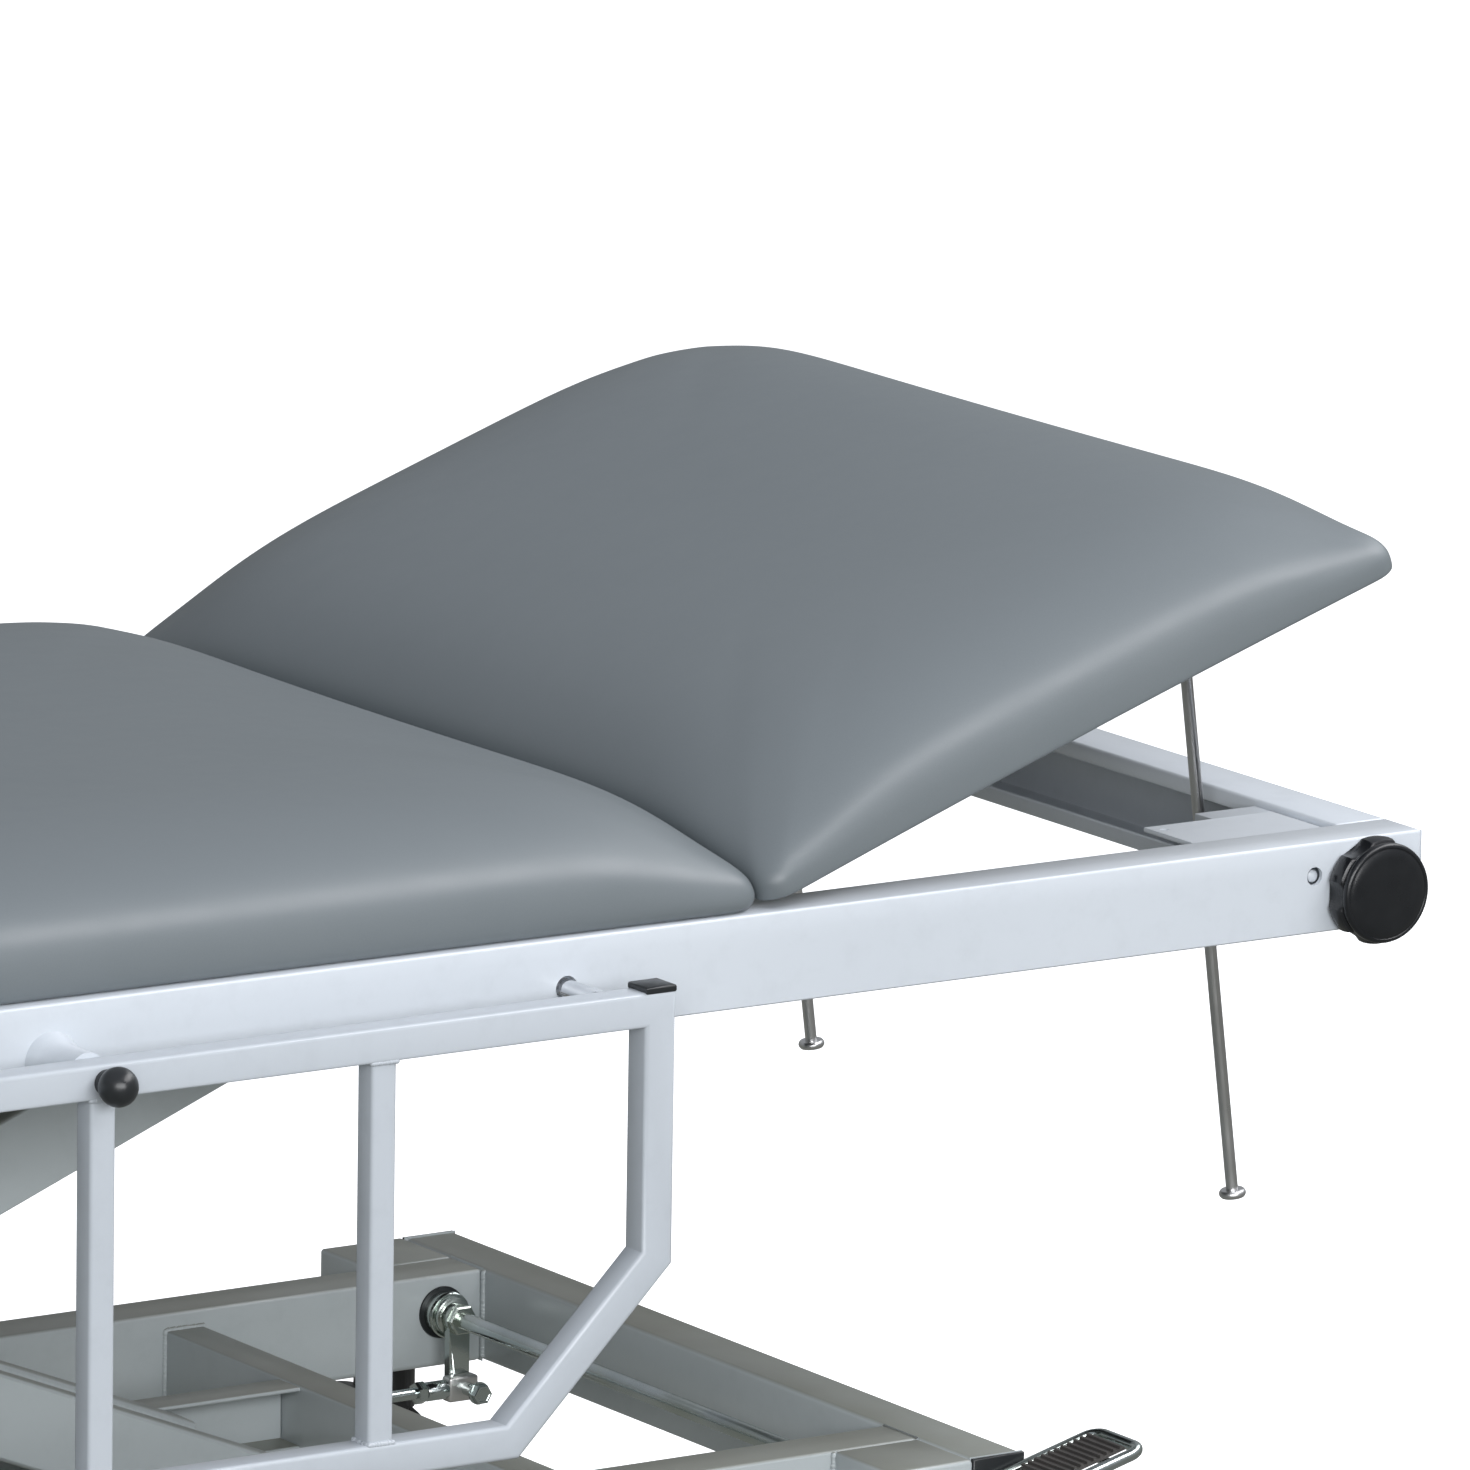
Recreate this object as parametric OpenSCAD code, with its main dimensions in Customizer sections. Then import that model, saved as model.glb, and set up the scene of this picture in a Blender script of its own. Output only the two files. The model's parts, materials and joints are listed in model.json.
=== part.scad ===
// Height-adjustable patient couch on castors, head end towards +X, near side towards -Y, floor at z = 0

/* [Top frame] */
// Overall length of the top frame
frame_l = 2060; // [1800:10:2200]
// Overall width of the top frame
frame_w = 800; // [700:10:900]
// Height of the frame's top face above the floor
frame_top = 615; // [600:5:640]
// Height of a folded frame rail
rail_h = 60; // [50:1:80]
// Width of a folded frame rail
rail_w = 40; // [30:1:50]
// Sheet thickness of the rails
rail_wall = 3; // [2:0.5:4]
// Height of the return lips of the rails
rail_lip = 12; // [8:1:16]

/* [Base frame] */
// Overall length of the base frame
base_l = 1528; // [1400:10:1700]
// Distance between the outer faces of the long base rails
base_w = 566; // [500:2:640]
// Height of the base frame's top face above the floor
base_top = 222; // [210:2:240]
// Height of a base rail
base_h = 64; // [50:1:80]
// Width of a base rail
base_rail_w = 40; // [30:1:50]
// Sheet thickness of the base rails
base_wall = 3; // [2:0.5:4]
// Width of a castor housing across the couch
housing_w = 64; // [50:1:80]
// Length of a castor housing along the couch
housing_l = 66; // [50:1:80]

/* [Castors] */
// Wheel diameter
wheel_d = 125; // [100:5:150]
// Tyre width
tyre_w = 30; // [24:1:34]
// Height of the tyre's rubber
tyre_t = 14; // [8:1:20]
// Distance from the swivel axis back to the wheel axis
castor_trail = 32; // [20:1:40]
// Diameter of the swivel stem
stem_d = 24; // [16:1:28]
// Diameter of the wheel axle
axle_d = 10; // [8:1:12]

/* [Lift] */
// Distance of the fixed pivots from the foot-side end rail
pivot_inset = 74; // [72:1:80]
// Angle of the arms at full height
lift_most = 38; // [34:1:42]
// Distance of the upper pivots below the frame top
upper_drop = 31.5; // [31:0.5:36]
// Height of the lower pivots above the underside of the base
pivot_rise = 30; // [28:1:36]
// Depth of an outer arm
outer_arm_h = 56; // [50:1:60]
// Thickness of an outer arm across the couch
outer_arm_t = 24; // [16:1:30]
// Depth of an inner arm
inner_arm_h = 54; // [50:1:60]
// Thickness of an inner arm across the couch
inner_arm_t = 30; // [20:1:34]
// Gap between the two inner arms
inner_gap = 80; // [76:1:100]
// Diameter of the centre shaft
centre_shaft_d = 20; // [16:1:24]
// Diameter of the end pivots and roller axles
pivot_d = 16; // [12:1:18]
// Roller diameter
roller_d = 36; // [30:1:40]
// Roller width
roller_w = 20; // [16:1:24]
// Distance of both ram pivots from the lower arm pivot
ram_reach = 300; // [280:5:330]
// Angle of the ram lever above the arm
ram_lever_angle = 30; // [25:1:35]
// Outer diameter of the ram barrel
barrel_d = 45; // [38:1:48]
// Diameter of the ram rod
ram_d = 20; // [16:1:24]

/* [Head section] */
// Height of the head section's hinge axis below the frame top
hinge_drop = 14; // [12:1:16]
// Distance of the hinge axis from the head end of the frame
hinge_from_end = 510; // [450:5:560]
// Angle of the head section above level as drawn
head_rest = 19.4; // [5:0.1:30]
// Distance from the hinge axis to each rod pivot
rod_reach = 445; // [400:5:450]
// Angle of the rod trunnion below the hinge axis
trunnion_angle = 4.4; // [4:0.1:6]
// Diameter of a support rod
rod_d = 8; // [6:0.5:10]
// Length of a support rod from its pivot to its foot
rod_l = 406; // [380:1:420]
// Distance of the support rods from the frame's long sides
rod_inset = 150; // [145:5:200]
// Diameter of the rods' mushroom feet
rod_foot_d = 18; // [14:1:22]

/* [Cushions] */
// Thickness of the boards under the cushions
board_t = 9; // [6:1:15]
// Thickness of a cushion at its crown
cushion_t = 66; // [40:1:80]
// Width over which the crown rises
crown_reach = 160; // [100:5:200]
// Distance by which the long sides are drawn in at the middle
side_draw = 7; // [0:1:15]
// Corner radius of the cushions
cushion_corner = 22; // [15:1:60]
// Gap between the two cushions at their lower edges when level
cushion_gap = 32; // [24:1:40]

/* [Side guards] */
// Half of the length of a guard
guard_half_l = 412; // [380:2:430]
// Height of a guard
guard_h = 284; // [250:2:300]
// Size of the square tube round the guard
guard_tube = 20; // [16:1:25]
// Size of the inner guard bars
guard_bar = 16; // [10:1:18]
// Size of the corner slope
guard_slope = 111; // [60:1:130]
// Gap between the rail and the guard
guard_gap = 43; // [40:1:55]
// Height of the guard pivot below the frame top
guard_drop = 36; // [32:1:40]
// Diameter of the guard's pivot stub
guard_stub_d = 16; // [12:1:18]
// Diameter of the release plunger
plunger_d = 6; // [5:0.5:8]
// Diameter of the ball knob
ball_d = 25; // [20:1:30]
// Distance of the buffer pins from the guard pivot
buffer_x = 373; // [340:1:380]
// Diameter of a buffer pin
buffer_d = 12; // [8:1:14]
// Diameter of a star knob
knob_d = 68; // [50:1:70]
// Depth of a star knob
knob_t = 24; // [18:1:30]

/* [Brake] */
// Diameter of the brake bars
brake_bar_d = 12; // [10:1:14]
// Height of the brake bars above the underside of the base
brake_rise = 38; // [34:1:42]
// Length of the brake cranks
crank_l = 46; // [42:1:50]
// Diameter of the brake link
brake_link_d = 8; // [6:1:10]
// Width of the brake pedal's loop
pedal_w = 60; // [50:1:80]
// Distance of the pedal loop's end from the brake bar
pedal_reach = 130; // [110:1:150]
// Angle of the pedal loop above level
pedal_angle = 15; // [5:1:20]
// Diameter of the pedal loop's bar
pedal_bar_d = 8; // [6:1:10]

/* [Hidden] */
$fn = 48;
near = -1;
far = 1;

// Clearances shared by all fits
seat_gap = 0.3;
run_gap = 0.05;
side_gap = 2;
cut = 1;

// Derived places of the base
base_bottom = base_top - base_h;
end_x = base_l / 2;
end_inner_x = end_x - base_rail_w;
rail_out_y = base_w / 2;
rail_in_y = rail_out_y - base_rail_w;
base_out_y = rail_out_y + housing_w;
housing_x = end_inner_x - housing_l / 2;
housing_y = rail_out_y + housing_w / 2;
plug_t = 4;

// Derived places of the lift, with all angles measured at the lower fixed pivot
arm_share = 0.7;
arm_l = base_l * arm_share;
lower_x = -end_inner_x + pivot_inset;
lower_z = base_bottom + pivot_rise;
upper_z = frame_top - upper_drop;
lift_rest = asin((upper_z - lower_z) / arm_l);
roller_x = lower_x + arm_l * cos(lift_rest);
inner_y0 = inner_gap / 2;
inner_y1 = inner_y0 + inner_arm_t;
outer_side_gap = 5;
outer_y1 = rail_in_y - outer_side_gap;
outer_y0 = outer_y1 - outer_arm_t;
lug_t = 8;
lug_d = 2 * pivot_d;
pin_out = 3;
cross_w = 30;
cross_inset = 4;
track_wall = 3;
track_gap = 1.5;
track_stop = 82;
track_x0 = lower_x + arm_l * cos(lift_most) - track_stop;
track_h = roller_d + 2 * seat_gap;
lower_track_y = inner_y1 + track_gap;
upper_track_y = outer_y1 + track_gap;
track_w = roller_w + 2 * track_gap + track_wall;
ram_x = lower_x + ram_reach;
ram_angle = lift_rest + ram_lever_angle;
ram_pin_d = 14;
ram_eye_d = 28;
ram_eye_t = 24;
ram_lean = ram_angle / 2;
ram_length = 2 * ram_reach * sin(ram_angle / 2);
barrel_start = 16;
barrel_end = 185;
ram_rod_l = 176;
bore_floor = 32;
lever_gap = 13;
lever_y0 = ram_eye_t / 2 + lever_gap;
cross_tube_d = 40;
cross_tube_wall = 4;
cross_tube_share = 0.6;
cross_tube_at = ram_reach * cross_tube_share;

// Derived places of the top frame
frame_x = frame_l / 2;
frame_y = frame_w / 2;
frame_bottom = frame_top - rail_h;
rail_inner_y = frame_y - rail_w;
hinge_x = frame_x - hinge_from_end;
hinge_z = frame_top - hinge_drop;
hinge_leaf = 17;
track_x1 = hinge_x - hinge_leaf - cross_w;
rod_y = frame_y - rod_inset;
trunnion_x = hinge_x + rod_reach * cos(trunnion_angle);
trunnion_z = hinge_z - rod_reach * sin(trunnion_angle);
rod_top_x = hinge_x + rod_reach * cos(head_rest);
rod_top_z = hinge_z + rod_reach * sin(head_rest);
rod_lean = (head_rest - trunnion_angle) / 2;
trunnion_d = 28;
trunnion_w = 28;
trunnion_pin_d = 14;
trunnion_bore = 20;
clamp_side = 24;
clamp_gap = 8;
clamp_y0 = rod_y + trunnion_w / 2 + clamp_gap;
clamp_x0 = trunnion_x - clamp_side;
clamp_x1 = frame_x - rail_w - side_gap;
plate_t = 3;
plate_l = 102;
plate_w = 57;
plate_back = 8;
knob_from_end = 42;
knob_drop = 34;
knob_x = frame_x - knob_from_end;
knob_z = frame_top - knob_drop;
knob_screw_d = 10;
sight_hole_from_knob = 43;
sight_hole_drop = 22;
sight_hole_x = knob_x - sight_hole_from_knob;
sight_hole_z = frame_top - sight_hole_drop;
sight_hole_d = 12;
rod_eye_d = 16;
rod_eye_t = 10;
rod_foot_t = 5;
rod_lug_t = 4;
rod_lug_r = 9;
rod_lug_gap = 1;
knuckle_d = 16;
knuckle_w = 30;
hinge_pin_d = 8;
hinge_spread_share = 0.7;
hinge_places = [-frame_y * hinge_spread_share, 0, frame_y * hinge_spread_share];

// Derived places of the cushions, which are wrapped down round their boards
board_inset = 22;
hinge_clear = 12;
seat_end_x = hinge_x - hinge_clear;
head_start_x = seat_end_x + cushion_gap;
cushion_z = frame_top + seat_gap;
pocket_h = board_t + seat_gap;
cushion_end_x = frame_x;
cushion_y = frame_y;
corner_dip_share = 0.4;
corner_dip_reach = 85;
corner_growth_share = 0.2;

// Derived places of the guards
guard_back = frame_y + guard_gap;
guard_mid = guard_back + guard_tube / 2;
guard_front = guard_back + guard_tube;
guard_z = frame_top - guard_drop;
guard_top = guard_z + guard_tube / 2;
guard_bar_x = (guard_half_l - guard_tube / 2) / 2;
cap_t = 5;
cap_over = 1;
boss_d = 40;
boss_nose_d = 28;
boss_round = 6;
buffer_rise = 4;
buffer_z = guard_z + buffer_rise;
buffer_hole_d = 16;
buffer_flange_d = 24;
buffer_flange_t = 3;
ball_out = 16;
ball_collar_d = 16;
ball_collar_t = 5;

// Derived places of the brake
brake_x = housing_x;
brake_z = base_bottom + brake_rise;
brake_hole_d = 14;
bush_d = 24;
bush_flange_d = 30;
bush_out = 16;
bush_ring_t = 4;
crank_t = 6;
crank_w = 16;
crank_boss_d = 20;
crank_y = rail_in_y - bush_out - crank_t - cut;
link_eye_d = 16;
link_eye_t = 8;
link_gap = 0.5;
link_y = crank_y - link_gap - link_eye_t / 2;
pedal_y0 = base_out_y + cut;
pedal_y1 = pedal_y0 + pedal_w;
tread_l = 56;
tread_t = 5;
tread_back = 10;
tread_cross_d = 6;
tread_drop = 0.5;
pedal_bend = 10;

// Profile of a cushion's edge as shares of the crown's reach and of the height over the frame
crown_shares = [[0.02, 0], [0.004, 0.05], [0, 0.16], [0.004, 0.3], [0.03, 0.45], [0.09, 0.6],
    [0.19, 0.73], [0.33, 0.84], [0.52, 0.93], [0.76, 0.985], [1, 1]];

// Places a child drawn for the near side on the side asked for
module on_side(side) {
    if (side == near) children();
    else mirror([0, 1, 0]) children();
}

module along_y(y0, y1) {
    translate([0, y1, 0]) rotate([90, 0, 0]) linear_extrude(y1 - y0) children();
}

module pin_y(x, z, y0, y1, d) {
    translate([x, y1, z]) rotate([90, 0, 0]) cylinder(h = y1 - y0, d = d);
}

module box(x0, x1, y0, y1, z0, z1) {
    translate([x0, y0, z0]) cube([x1 - x0, y1 - y0, z1 - z0]);
}

// Folded profile with its web at x = 0, its flanges towards +x and lips at their edges
module lipped_profile(w, h, wall, lip) {
    difference() {
        square([w, h]);
        translate([wall, wall]) square([w - 2 * wall, h - 2 * wall]);
        translate([w - wall - cut, lip]) square([wall + 2 * cut, h - 2 * lip]);
    }
}

module channel_profile(w, h, wall) {
    difference() {
        square([w, h]);
        translate([wall, wall]) square([w, h - 2 * wall]);
    }
}

// Extrudes a profile along X, with the profile's x as Y and its y as Z
module along_x(x0, x1) {
    translate([x0, 0, 0]) rotate([90, 0, 90]) linear_extrude(x1 - x0) children();
}

// Places a child drawn flat along +X at an arm's angle about its pivot
module at_angle(x, z, angle) {
    translate([x, 0, z]) rotate([0, -angle, 0]) children();
}

module cross_tube(x, y, z0, z1) {
    difference() {
        box(x, x + cross_w, -y, y, z0, z1);
        box(x + base_wall, x + cross_w - base_wall, -y - cut, y + cut, z0 + base_wall, z1 - base_wall);
    }
}

module head_pose() {
    at_angle(hinge_x, hinge_z, head_rest) translate([-hinge_x, 0, -hinge_z]) children();
}

// Base frame

module base_rail(side) {
    color([0.62, 0.66, 0.67]) on_side(side) difference() {
        box(-end_inner_x, end_inner_x, -rail_out_y, -rail_in_y, base_bottom, base_top);
        box(-end_x, end_x, -rail_out_y + base_wall, -rail_in_y - base_wall,
            base_bottom + base_wall, base_top - base_wall);
        for (e = [-1, 1]) {
            pin_y(e * brake_x, brake_z, -rail_out_y - cut, -rail_in_y - 2 * base_wall, brake_hole_d);
            pin_y(e * brake_x, brake_z, -rail_in_y - 2 * base_wall, -rail_in_y + cut, bush_d);
        }
    }
}

module base_end_rails() {
    color([0.62, 0.66, 0.67]) for (e = [-1, 1]) difference() {
        box(min(e * end_x, e * end_inner_x), max(e * end_x, e * end_inner_x),
            -base_out_y + plug_t, base_out_y - plug_t, base_bottom, base_top);
        box(min(e * end_x, e * end_inner_x) + base_wall, max(e * end_x, e * end_inner_x) - base_wall,
            -base_out_y, base_out_y, base_bottom + base_wall, base_top - base_wall);
    }
}

module base_end_plugs() {
    plug_in = 12;
    color([0.09, 0.1, 0.11]) for (e = [-1, 1], s = [-1, 1])
        translate([e * (end_x - base_rail_w / 2), s * (base_out_y - plug_t / 2), base_bottom + base_h / 2]) {
            cube([base_rail_w, plug_t, base_h], center = true);
            translate([0, -s * (plug_t + plug_in) / 2, 0])
                cube([base_rail_w - 2 * base_wall, plug_in, base_h - 2 * base_wall], center = true);
        }
}

// Cross members with the lugs and pins that they carry
module base_cross_members() {
    tube_z0 = base_bottom + cross_inset;
    tube_z1 = base_top - 3 * cross_inset;
    color([0.6, 0.64, 0.65]) {
        for (x = [track_x0 - cross_w, track_x1])
            cross_tube(x, rail_in_y, tube_z0, tube_z1);
        ram_bracket(tube_z0);
        for (s = [-1, 1]) on_side(s) lower_pivot();
    }
}

module ram_bracket(bar_z0) {
    bar_z1 = lower_z - ram_eye_d / 2 - cross_inset;
    lug_y0 = ram_eye_t / 2 + run_gap + side_gap / 2;
    lug_w = ram_eye_d - 2;
    box(ram_x - cross_w, ram_x + cross_w, -rail_in_y, rail_in_y, bar_z0, bar_z1);
    for (s = [-1, 1]) on_side(s) {
        pin_y(ram_x, lower_z, -lug_y0 - lug_t, -lug_y0, lug_w);
        box(ram_x - lug_w / 2, ram_x + lug_w / 2, -lug_y0 - lug_t, -lug_y0, bar_z1 - cut, lower_z);
    }
    pin_y(ram_x, lower_z, -lug_y0 - lug_t - pin_out, lug_y0 + lug_t + pin_out, ram_pin_d);
}

// Pivot pin with its spacer on the rail and its lug on a bracket from the end rail
module lower_pivot() {
    lug_y1 = -outer_y0 + side_gap + lug_t;
    pin_y(lower_x, lower_z, -rail_in_y, -outer_y1 - cut, lug_d);
    box(-end_inner_x, lower_x, lug_y1 - lug_t, lug_y1, base_bottom + cross_inset, brake_z - brake_bar_d);
    pin_y(lower_x, lower_z, lug_y1 - lug_t, lug_y1, lug_d);
    pin_y(lower_x, lower_z, -rail_in_y, lug_y1 + pin_out, pivot_d);
}

module castor_housings() {
    bore_depth = 20;
    color([0.66, 0.7, 0.71]) for (e = [-1, 1], s = [-1, 1]) difference() {
        translate([e * housing_x, s * housing_y, base_bottom + base_h / 2])
            cube([housing_l, housing_w, base_h], center = true);
        translate([e * housing_x, s * housing_y, base_bottom - cut])
            cylinder(h = bore_depth + cut, d = stem_d + 2 * run_gap);
        pin_y(e * housing_x, brake_z, s * housing_y - housing_w, s * housing_y + housing_w, brake_hole_d);
    }
}

module lower_tracks() {
    color([0.5, 0.53, 0.54]) for (s = [-1, 1]) on_side(s)
        track(lower_track_y, lower_z);
}

// Channel open towards the middle of the couch, in which one roller runs
module track(y, z) {
    along_x(track_x0, track_x1) translate([-y - track_w, z - track_h / 2 - track_wall])
        channel_profile(track_w, track_h + 2 * track_wall, track_wall);
}

// Bushes of the brake bars, of which the head-end ones stand proud of the rails
module brake_collars() {
    flange_t = 1.5;
    step_y = -rail_in_y + bush_out - bush_ring_t;
    color([0.55, 0.58, 0.57]) for (e = [-1, 1], s = [-1, 1]) on_side(s) difference() {
        union() {
            pin_y(e * brake_x, brake_z, -rail_out_y + base_wall, -rail_in_y, bush_d);
            pin_y(e * brake_x, brake_z, -rail_in_y, e > 0 ? step_y : -rail_in_y + flange_t, bush_flange_d);
            if (e > 0) pin_y(brake_x, brake_z, step_y - cut, step_y + bush_ring_t, bush_d);
        }
        pin_y(e * brake_x, brake_z, -base_w, 0, brake_bar_d + 2 * run_gap);
    }
}

// Hydraulic pump beside the near end of the ram's oil line
module pump_cylinder() {
    pump_y = 120;
    pump_drop = 2;
    pump_d = 22;
    ring_d = 30;
    ring_t = 8;
    pump_l = 150;
    ring_inset = 12;
    color([0.2, 0.21, 0.22]) translate([track_x1 - pump_l, pump_y, lower_z - pump_drop]) rotate([0, 90, 0]) {
        cylinder(h = pump_l, d = pump_d);
        for (x = [0, pump_l - ring_t - ring_inset])
            translate([0, 0, x]) cylinder(h = ring_t, d = ring_d);
    }
}

// Castors, numbered near foot, far foot, near head, far head

function castor_end(i) = i < 3 ? -1 : 1;
function castor_side(i) = i % 2 == 1 ? near : far;

module at_castor(i) {
    translate([castor_end(i) * housing_x, castor_side(i) * housing_y, 0]) children();
}

module castor_fork(i) {
    head_top = base_bottom - seat_gap;
    head_d = 48;
    head_t = 10;
    stem_up = 18;
    column_d = 42;
    leg_t = 3.5;
    leg_gap = 2;
    tyre_gap = 3.5;
    hood_t = 3;
    hood_from = 38;
    hood_sweep = 112;
    axle_out = 4;
    leg_in = tyre_w / 2 + leg_gap;
    leg_out = leg_in + leg_t;
    clear_r = wheel_d / 2 + tyre_gap;
    hood_half = leg_out - leg_t / 2;
    column_z = head_top - column_d;
    color([0.16, 0.17, 0.19]) at_castor(i) {
        translate([0, 0, head_top - head_t]) cylinder(h = head_t, d = head_d);
        translate([0, 0, head_top - head_t]) cylinder(h = head_t + stem_up, d = stem_d);
        difference() {
            translate([0, 0, column_z]) cylinder(h = column_d - head_t / 2, d = column_d);
            pin_y(-castor_trail, wheel_d / 2, -wheel_d, wheel_d, 2 * clear_r + hood_t);
        }
        translate([-castor_trail, 0, wheel_d / 2]) rotate([90, 0, 0]) rotate([0, 0, hood_from])
            rotate_extrude(angle = hood_sweep)
                translate([clear_r, -hood_half]) square([hood_t, 2 * hood_half]);
        for (y = [-leg_out, leg_in]) translate([-castor_trail, 0, wheel_d / 2])
            along_y(y, y + leg_t) fork_leg(clear_r + hood_t / 2);
        pin_y(-castor_trail, wheel_d / 2, -leg_out - axle_out, leg_out + axle_out, axle_d);
    }
}

// Side view of a fork leg, drawn about the wheel axis
module fork_leg(reach) {
    foot_share = 1.3;
    neck_share = 0.9;
    back_share = 0.6;
    front_share = 0.8;
    top_share = 1.2;
    foot_r = foot_share * axle_d;
    neck = foot_r * neck_share;
    top = top_share * reach;
    circle(r = foot_r);
    intersection() {
        circle(r = reach);
        polygon([[-neck, 0], [-back_share * reach, top], [front_share * reach, top], [neck, 0]]);
    }
}

module castor_tyre(i) {
    round_r = 9;
    r = wheel_d / 2;
    color([0.2, 0.22, 0.26]) at_castor(i) translate([-castor_trail, 0, r]) rotate([90, 0, 0])
        rotate_extrude($fn = 96) {
            translate([r - tyre_t, -tyre_w / 2]) square([tyre_t - round_r, tyre_w]);
            translate([r - round_r - cut, round_r - tyre_w / 2])
                square([round_r + cut, tyre_w - 2 * round_r]);
            for (s = [-1, 1]) intersection() {
                translate([r - round_r, s * (tyre_w / 2 - round_r)]) circle(r = round_r);
                translate([r - round_r, -tyre_w / 2]) square([round_r, tyre_w]);
            }
        }
}

module castor_hub(i) {
    rim_r = wheel_d / 2 - tyre_t;
    rim_t = 6;
    rim_inset = 1;
    web_w = 10;
    boss_r = 13;
    bore_r = axle_d / 2 + run_gap;
    color([0.78, 0.77, 0.72]) at_castor(i) translate([-castor_trail, 0, wheel_d / 2]) rotate([90, 0, 0])
        rotate_extrude($fn = 96) {
            translate([rim_r - rim_t, -tyre_w / 2 + rim_inset]) square([rim_t, tyre_w - 2 * rim_inset]);
            translate([boss_r, -web_w / 2]) square([rim_r - rim_t - boss_r, web_w]);
            translate([bore_r, -tyre_w / 2]) square([boss_r - bore_r, tyre_w]);
        }
}

// Scissor lift

module arm_profile(h) {
    translate([0, -h / 2]) square([arm_l, h]);
    circle(d = h);
    translate([arm_l, 0]) circle(d = h);
}

module outer_arms() {
    color([0.62, 0.65, 0.68]) for (s = [-1, 1]) on_side(s) at_angle(lower_x, lower_z, lift_rest)
        difference() {
            along_y(-outer_y1, -outer_y0) arm_profile(outer_arm_h);
            pin_y(0, 0, -base_w, 0, pivot_d + 2 * run_gap);
            pin_y(arm_l, 0, -base_w, 0, pivot_d + 2 * run_gap);
            pin_y(arm_l / 2, 0, -base_w, 0, centre_shaft_d);
        }
}

// Torsion tube between the outer arms with the lever on which the ram pushes
module outer_cross_tube() {
    px = ram_reach * cos(ram_lever_angle);
    pz = ram_reach * sin(ram_lever_angle);
    lever_head = ram_eye_d / 2 + side_gap;
    lever_foot = 50;
    color([0.62, 0.65, 0.68]) at_angle(lower_x, lower_z, lift_rest) {
        difference() {
            pin_y(cross_tube_at, 0, -outer_y0, outer_y0, cross_tube_d);
            pin_y(cross_tube_at, 0, -outer_y0 - cut, outer_y0 + cut, cross_tube_d - 2 * cross_tube_wall);
        }
        for (s = [-1, 1]) on_side(s) difference() {
            along_y(-lever_y0 - lug_t, -lever_y0) {
                translate([px, pz]) circle(r = lever_head);
                polygon([[cross_tube_at - cross_tube_d / 2, 0], [px - lever_head, pz],
                    [px + lever_head, pz], [cross_tube_at + lever_foot, 0]]);
            }
            pin_y(px, pz, -base_w, 0, ram_pin_d);
            pin_y(cross_tube_at, 0, -base_w, 0, cross_tube_d);
        }
        pin_y(px, pz, -lever_y0 - lug_t - side_gap, lever_y0 + lug_t + side_gap, ram_pin_d);
    }
}

module centre_shaft() {
    color([0.55, 0.57, 0.58]) at_angle(lower_x, lower_z, lift_rest)
        pin_y(arm_l / 2, 0, -outer_y1 - side_gap, outer_y1 + side_gap, centre_shaft_d);
}

module roller_axle(y, z) {
    out = y + track_gap + roller_w;
    color([0.5, 0.52, 0.53]) {
        pin_y(roller_x, z, -out, out, pivot_d);
        for (s = [-1, 1]) on_side(s)
            pin_y(roller_x, z, -out, -y - track_gap, roller_d);
    }
}

module inner_arms() {
    square_end = 24;
    color([0.6, 0.64, 0.66]) for (s = [-1, 1]) on_side(s) at_angle(lower_x, upper_z, -lift_rest)
        difference() {
            along_y(-inner_y1, -inner_y0) {
                translate([0, -inner_arm_h / 2]) square([arm_l + square_end, inner_arm_h]);
                circle(d = inner_arm_h);
            }
            for (x = [0, arm_l]) pin_y(x, 0, -base_w, 0, pivot_d + 2 * run_gap);
            pin_y(arm_l / 2, 0, -base_w, 0, centre_shaft_d + 2 * run_gap);
        }
}

module inner_cross_tubes() {
    tube_d = 30;
    tube_wall = 3;
    end_share = 0.1;
    color([0.6, 0.64, 0.66]) at_angle(lower_x, upper_z, -lift_rest)
        for (x = [arm_l * end_share, arm_l * (1 - end_share)]) difference() {
            pin_y(x, 0, -inner_y0, inner_y0, tube_d);
            pin_y(x, 0, -inner_y0 - cut, inner_y0 + cut, tube_d - 2 * tube_wall);
        }
}

// Ram drawn upright from its lower eye and leant to the triangle's side

module at_ram() {
    translate([ram_x, 0, lower_z]) rotate([0, -ram_lean, 0]) children();
}

module ram_barrel() {
    neck_d = ram_eye_t - side_gap;
    color([0.13, 0.14, 0.15]) at_ram() difference() {
        union() {
            pin_y(0, 0, -ram_eye_t / 2, ram_eye_t / 2, ram_eye_d);
            cylinder(h = barrel_start, d = neck_d);
            translate([0, 0, barrel_start]) cylinder(h = barrel_end - barrel_start, d = barrel_d);
        }
        pin_y(0, 0, -base_w, base_w, ram_pin_d + 2 * run_gap);
        translate([0, 0, bore_floor]) cylinder(h = barrel_end, d = ram_d + 2 * run_gap);
    }
}

module ram_rod() {
    color([0.7, 0.72, 0.73]) at_ram() difference() {
        union() {
            translate([0, 0, ram_length - ram_rod_l]) cylinder(h = ram_rod_l, d = ram_d);
            pin_y(0, ram_length, -ram_eye_t / 2, ram_eye_t / 2, ram_eye_d - cut);
        }
        pin_y(0, ram_length, -base_w, base_w, ram_pin_d + 2 * run_gap);
    }
}

// Top frame

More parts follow.
